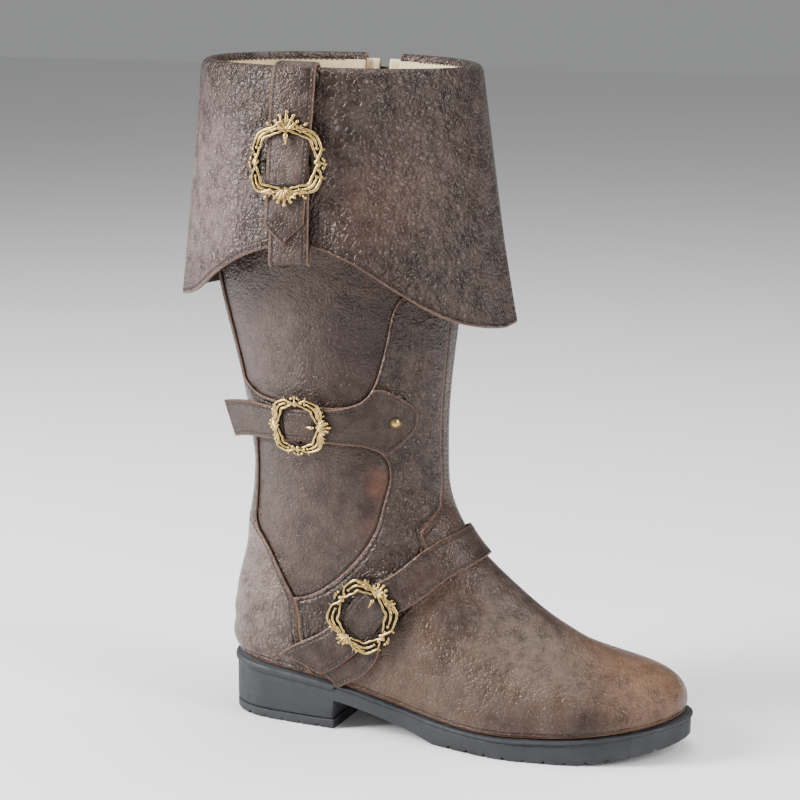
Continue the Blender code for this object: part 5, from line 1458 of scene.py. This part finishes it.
def scroll_buckle(name, place, window, body, reach, crest, base, node, knob=1.0):
    """The whole buckle, from its half sizes along and across: window, braided body, and the fans' reach.

    Two strands run round the window and cross on both sides of each side's middle, like a braid that
    opens into a loop at every corner. "crest" is +1 or -1: the end along the strap with the tall fan.
    """
    R = ROD
    inner, outline = np.array(window) + R * 1.1, np.array(body) - R
    parts = []
    angle = np.linspace(0, 2 * np.pi, 181)[:-1]
    near, far = curve(inner, angle, INNER_POWER), curve(outline, angle, OUTER_POWER)
    open_loop = 1.45 * np.abs(np.sin(2 * angle)) ** 0.75 - 0.45
    crossing = np.exp(-((open_loop / 0.30) ** 2))
    hand = np.where(np.sin(4 * angle) >= 0, 1.0, -1.0)
    ripple = 0.035 * np.cos(16 * angle)
    for which in (1, -1):
        share = 0.5 + which * 0.50 * np.clip(open_loop, -0.42, 1) + ripple
        path = near + (far - near) * share[:, None]
        rise = base + 0.0010 + which * hand * crossing * 0.00045 + 0.0003 * (1 - crossing)
        parts.append(rod(np.column_stack([path, rise]), R * (1.0 + 0.12 * np.cos(8 * angle)), closed=True))
    for su in (-1, 1):
        for sv in (-1, 1):
            middle = np.arctan2(sv, su)
            t = np.linspace(-1, 1, 19)
            arc = middle + 0.34 * t
            path = (curve(inner, arc, INNER_POWER) + curve(outline, arc, OUTER_POWER)) / 2
            rise = base + 0.0011 + 0.0005 * (1 - t * t)
            parts.append(rod(np.column_stack([path, rise]), R * 1.05 * (1.02 - 0.55 * t * t)))
            for end in (0, -1):
                parts.append(bead((*path[end], base + 0.0013), (R * 1.25, R * 1.25, R * 1.2)))
            curl = np.arctan2(sv * body[1], su * body[0]) + su * sv * np.array([-0.36, 0.36])
            for k, bend in enumerate(curl):
                root = curve(outline, bend, OUTER_POWER)
                t = np.linspace(0, 1, 13)
                spin = bend + (1 if k else -1) * su * sv * (0.5 + 3.2 * t)
                path = root[:, None] + 0.0011 * np.stack([np.cos(spin), np.sin(spin)]) * (1 - 0.5 * t)
                parts.append(rod(np.column_stack([path.T, base + 0.0009 + 0.0004 * t]),
                                 R * (0.95 - 0.35 * t)))
    for sv in (-1, 1):
        gap = outline[1] - inner[1]
        parts.append(bead((0, sv * (inner[1] + gap * 0.45), base + 0.0013), (R * 1.9, R * 2.4, R * 1.3)))
        for hand in (-1, 1):
            parts.append(bead((hand * R * 2.6, sv * (outline[1] - R * 0.1), base + 0.0011),
                              (R * 1.9, R * 1.15, R * 1.15), -0.45 * hand * sv))
            parts.append(bead((hand * R * 4.6, sv * (inner[1] + gap * 0.50), base + 0.0012),
                              (R * 1.5, R * 1.1, R * 1.1), 0.5 * hand))
        parts.append(bead((0, sv * (outline[1] + R * 0.5), base + 0.0012), (R * 1.2, R * 1.6, R * 1.2)))
    for end, tall, span in ((crest, 1.0, 1.0), (-crest, 0.92, 0.97)):
        root = end * (inner[0] + 0.35 * (outline[0] - inner[0]))
        long = (reach * span - abs(root)) - R
        for lean in 0.40 * (np.arange(5) - 2):
            way = np.arctan2(np.sin(lean), end * np.cos(lean))
            size = long * tall * (1 - 0.30 * abs(lean))
            step_out = np.array([np.cos(way), np.sin(way)])
            for far_out, half in ((0.52, (size * 0.46, R * 1.25, R * 1.30)),
                                  (0.96, (R * 1.45, R * 1.30, R * 1.25))):
                parts.append(bead((*(np.array([root, 0]) + step_out * size * far_out), base + 0.0014),
                                  half, way))
        for hand in (-1, 1):
            for far_out, width in ((0.22, 0.62), (0.52, 0.46)):
                t = np.linspace(0, 1, 21)
                u = root + end * (long * far_out * ease(t) + 0.0009 * np.sin(2.4 * np.pi * t))
                v = hand * (body[1] * width * (1 - t) ** 0.9 + 0.0010 + 0.0013 * np.sin(np.pi * t))
                parts.append(rod(np.stack([u, v, base + 0.0011 + 0.0004 * np.sin(np.pi * t)], -1),
                                 R * (1.05 - 0.25 * t)))
            parts.append(bead((root + end * long * 0.40, hand * body[1] * 0.50, base + 0.0012),
                              (R * 1.9, R * 1.2, R * 1.2), hand * 0.7 * end))
    knob_at = crest * (window[0] + R * 0.4)
    parts.append(bead((knob_at, 0, base + 0.0022), (R * 2.1 * knob, R * 1.7 * knob, R * 1.7)))
    t = np.linspace(0, 1, 12)
    prong = np.column_stack([crest * (window[0] - 0.0042 * knob * t), 0 * t, base + 0.0021 - 0.0008 * t * t])
    parts.append(rod(prong, R * (1.25 - 0.75 * t**1.6)))
    points, faces = joined(parts)
    high = np.clip((points[:, 2] - base - 0.0002) / 0.0019, 0, 1)
    piece(name, place(*points.T), faces, [brass], replaces=[node], slot="antique_brass",
          marks={"high": high}, sharp=None)

    # A near-black plate under the rods, painted as the shade in the openwork.
    share = np.linspace(0, 1, 4)[:, None]
    near = curve(np.array(window) + R * 0.8, angle, PLATE_POWER)
    far = curve(outline - R * 0.8, angle, OUTER_POWER)
    plate = near[None] + (far - near)[None] * share[..., None]
    grid = place(plate[..., 0], plate[..., 1], base + 0.0005 + 0 * plate[..., 0])
    surface(name + "_ground", grid, [openwork_shadow] * 3, closed=True, slot="antique_brass")


# %% Buckles on their straps
def cuff_place(along_strap, across_strap, height):
    """A point on the cuff's buckle: metres down the cuff, metres across, metres off its face."""
    turn = CUFF_BUCKLE_TURN + np.asarray(across_strap) / CUFF_TURN_METRES
    at = CUFF_BUCKLE_STEP + np.asarray(along_strap) / CUFF_BUCKLE_DEPTH
    return cuff_face(turn, at, height + cuff_waves(np.array(CUFF_BUCKLE_TURN), np.array(CUFF_BUCKLE_STEP)))


back = skin(ANKLE_BUCKLE_AT[0] - 0.02, ANKLE_BUCKLE_AT[1]) - skin(ANKLE_BUCKLE_AT[0] + 0.02,
                                                                  ANKLE_BUCKLE_AT[1])
ankle_place = frame_on_skin(ANKLE_BUCKLE_AT, -back)
pair = ribbon(INSTEP_LINE, np.array([bend_at - 0.002, bend_at + 0.002]), np.zeros(2))
ends = skin(*pair)
instep_place = frame_on_skin(INSTEP_BUCKLE_AT, ends[1] - ends[0])
table = np.array(YOKE)
low_row, high_row = (np.interp(ANKLE_BUCKLE_AT[0], table[::-1, 0], table[::-1, i]) for i in (1, 2))
half = np.linalg.norm(skin(ANKLE_BUCKLE_AT[0], high_row) - skin(ANKLE_BUCKLE_AT[0], low_row)) / 2

half_cuff, half_ankle = CUFF_STRAP_WIDTH / 2 + BUCKLE_ROOM, half + BUCKLE_ROOM
half_instep = INSTEP_STRAP_WIDTH / 2 + BUCKLE_ROOM
over = STRAP_THICK + CLEAR
scroll_buckle("cuff_buckle_brass", cuff_place, (CUFF_WINDOW, half_cuff), (0.0212, CUFF_FRAME[1]),
              CUFF_FRAME[0], -1, CUFF_OVER + over, "cuff_buckle", 1.1)
scroll_buckle("ankle_buckle_brass", ankle_place, (ANKLE_WINDOW, half_ankle), (0.0180, ANKLE_FRAME[1]),
              ANKLE_FRAME[0], 1, OVER_BAR + over, "ankle_buckle", 0.9)
scroll_buckle("instep_buckle_brass", instep_place, (INSTEP_WINDOW, half_instep), (0.0218, INSTEP_FRAME[1]),
              INSTEP_FRAME[0] + 0.001, 1, INSTEP_OVER + over, "instep_buckle", 1.0)

# %% Hidden bars and the rivet
def bar(name, place, half_width, strap_high, low):
    """The bar under the strap: a flat rod that dips from the frame, under the strap and up again."""
    t = np.linspace(-1, 1, 25)
    reach = half_width + BAR_THICK * 1.55
    dip = ease((np.abs(t) * reach - half_width + 0.0004) / 0.0022)
    height = low + BAR_THICK / 2 + (strap_high + CLEAR + 0.0008 - low - BAR_THICK / 2) * dip
    points, faces = rod(np.column_stack([0 * t, t * reach, height]), BAR_THICK / 2)
    return piece(name, place(*points.T), faces, [brass], slot="antique_brass",
                 marks={"high": 0 * points[:, 0] + 0.5}, sharp=None)


bar("cuff_bar", cuff_place, half_cuff, CUFF_OVER + STRAP_THICK, CUFF_LOW)
bar("ankle_bar", ankle_place, half_ankle, OVER_BAR + STRAP_THICK, STRAP_LOW)
bar("instep_bar", instep_place, half_instep, INSTEP_OVER + STRAP_THICK, STRAP_LOW)

rivet_place = frame_on_skin(RIVET_AT, np.array([1.0, 0.0, 0.0]))
angle = np.linspace(0, 2 * np.pi, 41)[:-1]
profile = np.array([(0.90, 0.0), (1.0, 0.10), (1.04, 0.28), (1.0, 0.42), (0.90, 0.46), (0.80, 0.42),
                    (0.74, 0.52), (0.62, 0.78), (0.42, 0.95), (0.2, 1.0), (0.03, 1.0)])
low = STRAP_LOW + STRAP_THICK + CLEAR * 0.5
radius, height = profile[:, :1] * RIVET_RADIUS, low + profile[:, 1:] * RIVET_HEIGHT
grid = rivet_place(radius * np.cos(angle), radius * np.sin(angle), height + 0 * angle)
points, faces = grid.reshape(-1, 3), grid_faces(*grid.shape[:2], True).tolist()
faces += [list(range(40))[::-1], list(range(400, 440))]
piece("rivet_brass", points, faces, [brass], replaces=["rivet"], slot="antique_brass",
      marks={"high": (0.35 + 0.65 * profile[:, 1:] + 0 * angle)})

# %% Sew: all stitches as one piece
def sew(name, sets):
    """All rows of stitches in one mesh: every capsule has the same faces, moved on by its number."""
    points = np.concatenate([found.reshape(-1, 3) for found, _ in sets])
    count, faces = sets[0][0].shape[1], sets[0][1]
    number = sum(len(found) for found, _ in sets)
    print(name, "stitches:", number)
    return piece(name, points, repeated(faces, count, number), [thread], slot="strap_leather", sharp=None)


sew("stitches", stitch_sets)

# %% [markdown]
# ## The rubber sole
#
# The sole is one moulded block: a heel that slopes to the waist, an arch, a tread with grooves
# across it and a toe that lifts off the floor. It is a stack of rings, each ring sampled at
# chosen places along X so that the heel's front face and each groove get sharp sides. A rounded
# bead runs round its top edge under the leather.

# %% Outsole and top piece of the heel
def turn_of(x, outset=0.0):
    """Turn on the outer side where the sole's plan reaches x."""
    back, front = along(0) - outset, along(1) + outset
    return np.arccos(1 - 2 * np.clip((x - back) / (front - back), 0, 1)) / np.pi


BREAST = along(0) + HEEL_LENGTH
GROUND = along(0.496)
STEP_WIDE = 0.00012
grooves = GROUND + LUG_PITCH * (1 + np.arange(int((along(0.965) - GROUND - LUG_PITCH) / LUG_PITCH) + 1))
heel_grooves = along(0.03) + LUG_PITCH * (0.8 + np.arange(int((HEEL_LENGTH - 0.012) / LUG_PITCH)))


def under(x):
    """Height of the underside: over the top piece, up the breast, down the arch, along the tread."""
    share = np.clip((x - BREAST) / (GROUND - BREAST), 0, 1)
    arch = SHANK_RISE * (1 - share**1.25)
    height = np.where(x < GROUND, arch, spring(x))
    height = np.where(x <= BREAST - STEP_WIDE / 2, LIFT_THICK + CLEAR, height)
    in_groove = (np.abs(x[..., None] - grooves) < LUG_GROOVE / 2).any(-1)
    return height + LUG_DEPTH * in_groove


def stations(first, last, places, count):
    """Places along X: an even run, and a pair close to either side of every step."""
    run = (1 - np.cos(np.linspace(0, np.pi, count))) / 2 * (last - first) + first
    steps = np.concatenate([[p - STEP_WIDE / 2, p + STEP_WIDE / 2] for p in places])
    free = np.abs(run[:, None] - steps).min(1) > STEP_WIDE
    return np.sort(np.concatenate([run[free], steps]))


def ring_stack(name, turns, levels, bottom, top, paint, node, slot):
    """A closed block through rings: levels are (share of the height, how far it stands out)."""
    rings = []
    for share, out in levels:
        x, y = sole_ring(turns, out * SOLE_LIP)
        x = np.minimum(x, top[1])
        low, high = bottom(x), top[0](x)
        rings.append(np.stack([x, y, low + (high - low) * share], -1))
    rings = np.array(rings)
    count, n = rings.shape[:2]
    faces = grid_faces(count, n, True).tolist()
    for base, flip in ((0, True), ((count - 1) * n, False)):
        for k in range(n // 2):
            corners = list(dict.fromkeys([base + k, base + k + 1, base + (n - k - 1) % n,
                                          base + (n - k) % n]))
            faces.append(corners[::-1] if flip else corners)
    return piece(name, rings.reshape(-1, 3), faces, [paint], replaces=[node], slot=slot, sharp=38)


edges = [BREAST, GROUND] + [g + s * LUG_GROOVE / 2 for g in grooves for s in (-1, 1)]
outer_turns = turn_of(stations(along(0), along(1), edges, 150))
outer_turns[0], outer_turns[-1] = 0.0, 1.0
turns = np.concatenate([outer_turns, 2 - outer_turns[::-1][1:-1]])
side = [(0.0, -0.9), (0.015, -0.35), (0.05, 0.0), (0.30, 0.02), (0.60, 0.0), (0.70, -0.05),
        (0.745, -0.35), (0.765, -0.3), (0.785, 0.35),
        (0.82, 0.85), (0.86, 1.0), (0.90, 0.9), (0.935, 0.45), (0.95, -0.1), (0.97, -0.9), (1.0, -1.6)]
ring_stack("sole_block", turns, side, under, (seat, 1.0), rubber, "outsole", "sole_rubber")

lift_x = stations(along(0), BREAST, [g + s * LUG_GROOVE / 2 for g in heel_grooves if g < BREAST
                                     - LUG_GROOVE for s in (-1, 1)], 60)
lift_turns = turn_of(lift_x)
lift_turns[0] = 0.0
turns = np.concatenate([lift_turns, 2 - lift_turns[::-1][:-1]])
flat_groove = lambda x: LUG_DEPTH * (np.abs(x[..., None] - heel_grooves) < LUG_GROOVE / 2).any(-1)
side = [(0.0, -0.8), (0.05, -0.4), (0.14, -0.1), (0.25, 0.0), (0.85, 0.0), (0.95, -0.15), (1.0, -0.5)]
ring_stack("heel_top_piece", turns, side, flat_groove, (lambda x: LIFT_THICK + 0 * x, BREAST), rubber,
           "heel_lift", "lift_rubber")

# %% Footbed
turns = np.linspace(0.035, 0.965, 60)
depth = -(WALL + 3 * COVER_CLEAR)
outer_line, inner_line = skin(turns, 0.0 * turns, depth), skin(2 - turns, 0.0 * turns, depth)
share = np.linspace(0, 1, 24)[:, None, None]
grid = outer_line[None] + (inner_line - outer_line)[None] * share
cup = 0.0012 * (np.abs(2 * share[..., 0] - 1) ** 3)
grid[..., 2] = seat(grid[..., 0]) + CLEAR + INSOLE_THICK + cup
footbed = surface("footbed", grid[:, ::-1], [lining] * 3, replaces=["insole"], slot="insole_lining",
                  marks={"edge": margins(grid)[:, ::-1]})
thicken(footbed, INSOLE_THICK)
print("footbed faces up:", (np.cross(grid[12, 29] - grid[12, 30], grid[13, 30] - grid[12, 30])[2] < 0))

# %% [markdown]
# ## The zip on the inner side
#
# A zip closes the shaft where the photo does not look. It has a cloth tape behind the slot, two
# rows of metal teeth that interlock, a slider at the top and a pull tab that hangs from its pin
# and swings on it. Each tooth is a little rod with two ends, repeated by arrays.

# %% Tape and teeth
zip_low = -(WALL + ZIP_TAPE_CLEAR)
at = np.linspace(ZIP_LINE[0][0] - 0.25, TOP_ROW - 0.12, 160)
turn = zip_turn(at)[:, None]
across = np.linspace(-0.5, 0.5, 13) / metres_per_turn(turn, at[:, None])
grid = skin(turn + across * ZIP_TAPE_WIDTH, at[:, None] + 0 * across, zip_low)
tape = surface("zip_tape_cloth", grid, [tape_cloth] * 3, replaces=["zip_tape"], slot="zip_fabric")
thicken(tape, ZIP_TAPE_THICK)

rows = np.linspace(ZIP_LINE[0][0] + 0.1, TOP_ROW - 0.12, 900)
middle = skin(zip_turn(rows), rows, zip_low + CLEAR)
run = run_along(middle)
pitch = 0.0016  # metres from one tooth to the next, the two rows taken together
at_run = np.arange(pitch, run[-1] - pitch, pitch)
tooth_row = np.interp(at_run, run, rows)
hand = np.where(np.arange(len(at_run)) % 2 == 0, 1.0, -1.0)
wide = ZIP_CHAIN_WIDTH * 0.62
off = hand * ZIP_CHAIN_WIDTH * 0.19 / metres_per_turn(zip_turn(tooth_row), tooth_row)
centre = skin(zip_turn(tooth_row) + off, tooth_row, zip_low + CLEAR + 0.0011)
by_turn, by_row = slopes(zip_turn(tooth_row), tooth_row)
away = unit(np.cross(by_turn, by_row))
side_way = unit(by_turn)
shape, faces = capsule(8)
TOOTH = np.array((wide, 0.00062, 0.0010))
way = np.stack([side_way, unit(by_row), away], 1)
points = centre[:, None] + (shape * TOOTH) @ way
every = repeated(faces, len(shape), len(centre))
piece("zip_teeth", points.reshape(-1, 3), every, [zip_brass], replaces=["zip_chain"], slot="zip_metal",
      marks={"high": 0 * points[..., 0] + 0.45}, sharp=None)
print("teeth:", len(centre))


# %% Slider and pull
def rounded_block(name, middle, size, axes, bevel, **more):
    """A box about a middle point along three axes, its edges rounded by a bevel."""
    corner = np.array([(i, j, k) for i in (-1, 1) for j in (-1, 1) for k in (-1, 1)]) / 2 * size
    faces = [(0, 1, 3, 2), (4, 6, 7, 5), (0, 4, 5, 1), (2, 3, 7, 6), (0, 2, 6, 4), (1, 5, 7, 3)]
    made = piece(name, middle + corner @ np.array(axes), faces, [zip_brass], slot="zip_metal",
                 marks={"high": np.full(8, 0.5)}, sharp=60, **more)
    soft = made.modifiers.new("rounded", "BEVEL")
    soft.width, soft.segments = bevel, 3
    return made


turn, row = np.array(zip_turn(SLIDER_ROW)), np.array(SLIDER_ROW)
x_axis = np.array([1.0, 0.0, 0.0])
slider_up = unit(slopes(turn, row)[1] * np.array([0.0, 1.0, 1.0]))
slider_out = np.cross(slider_up, x_axis)
foot = skin(turn, row)
plate = foot + slider_out * (SLIDER_LIFT + SLIDER_THICK / 2)
axes = (x_axis, slider_out, slider_up)
rounded_block("slider_plate", plate, (SLIDER_WIDTH, SLIDER_THICK, SLIDER_LENGTH), axes, 0.0005,
              replaces=["zip_slider"])
pin = foot + slider_out * PIN_LIFT
stand = EYE_WIDTH / 2 + CLEAR + POST_THICK / 2
post_low, post_high = SLIDER_LIFT + SLIDER_THICK / 2, PIN_LIFT + 1.6 * PIN_RADIUS
for number, hand in enumerate((-1, 1)):
    middle = foot + slider_out * (post_low + post_high) / 2 + x_axis * hand * stand
    rounded_block(f"slider_post_{number}", middle, (POST_THICK, post_high - post_low, 4 * PIN_RADIUS),
                  axes, 0.0003)


def lathe_x(middle, profile, sides=24):
    """Points and faces of a body turned about the X axis: the profile has (x, radius), closed at its ends."""
    angle = np.arange(sides) * 2 * np.pi / sides
    table = np.array(profile)
    points = middle + np.stack([table[:, :1] + 0 * angle, table[:, 1:] * np.cos(angle),
                                table[:, 1:] * np.sin(angle)], -1)
    faces = grid_faces(len(table), sides, True)[:, ::-1].tolist()
    return points.reshape(-1, 3), faces


half_pin = stand + POST_THICK / 2
points, faces = lathe_x(pin, [(-half_pin, 0.00001), (-half_pin, PIN_RADIUS), (half_pin, PIN_RADIUS),
                              (half_pin, 0.00001)])
piece("slider_pin", points, faces, [zip_brass], slot="zip_metal", marks={"high": np.full(len(points), 0.5)})

hole, half_eye = PIN_RADIUS + CLEAR, EYE_WIDTH / 2
round_eye = [(-half_eye, hole), (-half_eye * 0.97, EYE_RADIUS * 0.93), (-half_eye * 0.85, EYE_RADIUS),
             (half_eye * 0.85, EYE_RADIUS), (half_eye * 0.97, EYE_RADIUS * 0.93),
             (half_eye, hole), (-half_eye, hole)]
points, faces = lathe_x(pin, round_eye)
piece("pull_eye", points, faces, [zip_brass], replaces=["zip_pull"], body="zip_pull", slot="zip_metal",
      marks={"high": np.full(len(points), 0.6)})
neck = EYE_RADIUS + CLEAR
length = PULL_LENGTH - neck
t = np.linspace(0, 1, 60)
half = PULL_WIDTH / 2 * np.clip(0.42 + 0.75 * t, 0,
                                1) * np.sqrt(np.clip(1 - (np.clip(t - 0.86, 0, 1) / 0.14) ** 2.2, 0.02,
                                                     1))
outline_z = pin[2] - EYE_RADIUS * 0.9 - t * (length + neck - EYE_RADIUS * 0.9)
across = np.linspace(-1, 1, 13)[:, None]
dent = 0.00022 * np.clip(1 - ((t - 0.5) / 0.30) ** 4, 0, 1) * np.clip(1 - (across / 0.66) ** 4, 0, 1)
front = np.stack([pin[0] + across * half, pin[1] + PULL_THICK / 2 - dent + 0 * across * half,
                  outline_z + 0 * across * half], -1)
tab = surface("pull_tab", front, [zip_brass] * 3, body="zip_pull", slot="zip_metal",
              marks={"high": 0.8 - 2200 * dent + 0 * front[..., 0]})
thicken(tab, PULL_THICK)
print("pull tab length:", round(length, 4))

# %% [markdown]
# ## Floor, light and camera
#
# A large pale floor and a pale world give the soft studio look. One big light stands to the left
# in front, a weaker one to the right, and a long one above lifts the edges. The camera stands a
# little above the boot on its outer side, where the photo was taken.

# %% Floor
floor_paint = grained("studio_floor", (0.86, 0.86, 0.86), 0.85, "TexNoise", (0.85, 0.85, 0.855),
                      (0.88, 0.88, 0.88), Scale=4.0, Detail=2.0)
mesh = bpy.data.meshes.new("studio_floor")
mesh.from_pydata([(-6, -6, 0), (6, -6, 0), (6, 6, 0), (-6, 6, 0)], [], [(0, 1, 2, 3)])
mesh.materials.append(floor_paint)
floor = bpy.data.objects.new("studio_floor", mesh)
bpy.context.scene.collection.objects.link(floor)

# %% Light
MIDDLE = (0.06, 0.0, 0.20)


def soft_light(name, place, size, power):
    """An area light at a place, turned to the middle of the boot."""
    lamp = bpy.data.lights.new(name, "AREA")
    lamp.shape, lamp.size, lamp.size_y = "RECTANGLE", size[0], size[1]
    lamp.energy = power
    made = bpy.data.objects.new(name, lamp)
    made.location = place
    made.rotation_euler = (Vector(MIDDLE) - Vector(place)).to_track_quat("-Z", "Y").to_euler()
    bpy.context.scene.collection.objects.link(made)
    return made


soft_light("key_left", (-1.35, -0.85, 1.10), (0.55, 1.3), 98.0)
soft_light("fill_right", (1.55, -0.35, 0.95), (0.5, 1.2), 34.0)
soft_light("top", (0.1, 0.25, 1.9), (1.3, 0.9), 30.0)
soft_light("front", (0.4, -2.0, 0.9), (0.8, 0.6), 5.0)
world = bpy.data.worlds.new("studio")
world.use_nodes = True
world.node_tree.nodes["Background"].inputs["Color"].default_value = (0.93, 0.94, 0.95, 1.0)
world.node_tree.nodes["Background"].inputs["Strength"].default_value = 0.31
bpy.context.scene.world = world

# %% Camera
LENS = 110.8
EYE = (0.6318, -1.3993, 0.5107)
LOOKS_DOWN, LOOKS_LEFT = np.radians(11.367), np.radians(21.839)
camera = bpy.data.cameras.new("camera")
camera.lens, camera.sensor_width = LENS, 36.0
camera.clip_start, camera.clip_end = 0.01, 30.0
eye = bpy.data.objects.new("camera", camera)
eye.location = EYE
eye.rotation_euler = (np.pi / 2 - LOOKS_DOWN, 0.0, LOOKS_LEFT)
bpy.context.scene.collection.objects.link(eye)
bpy.context.scene.camera = eye

# %% Update the scene
bpy.context.view_layer.update()
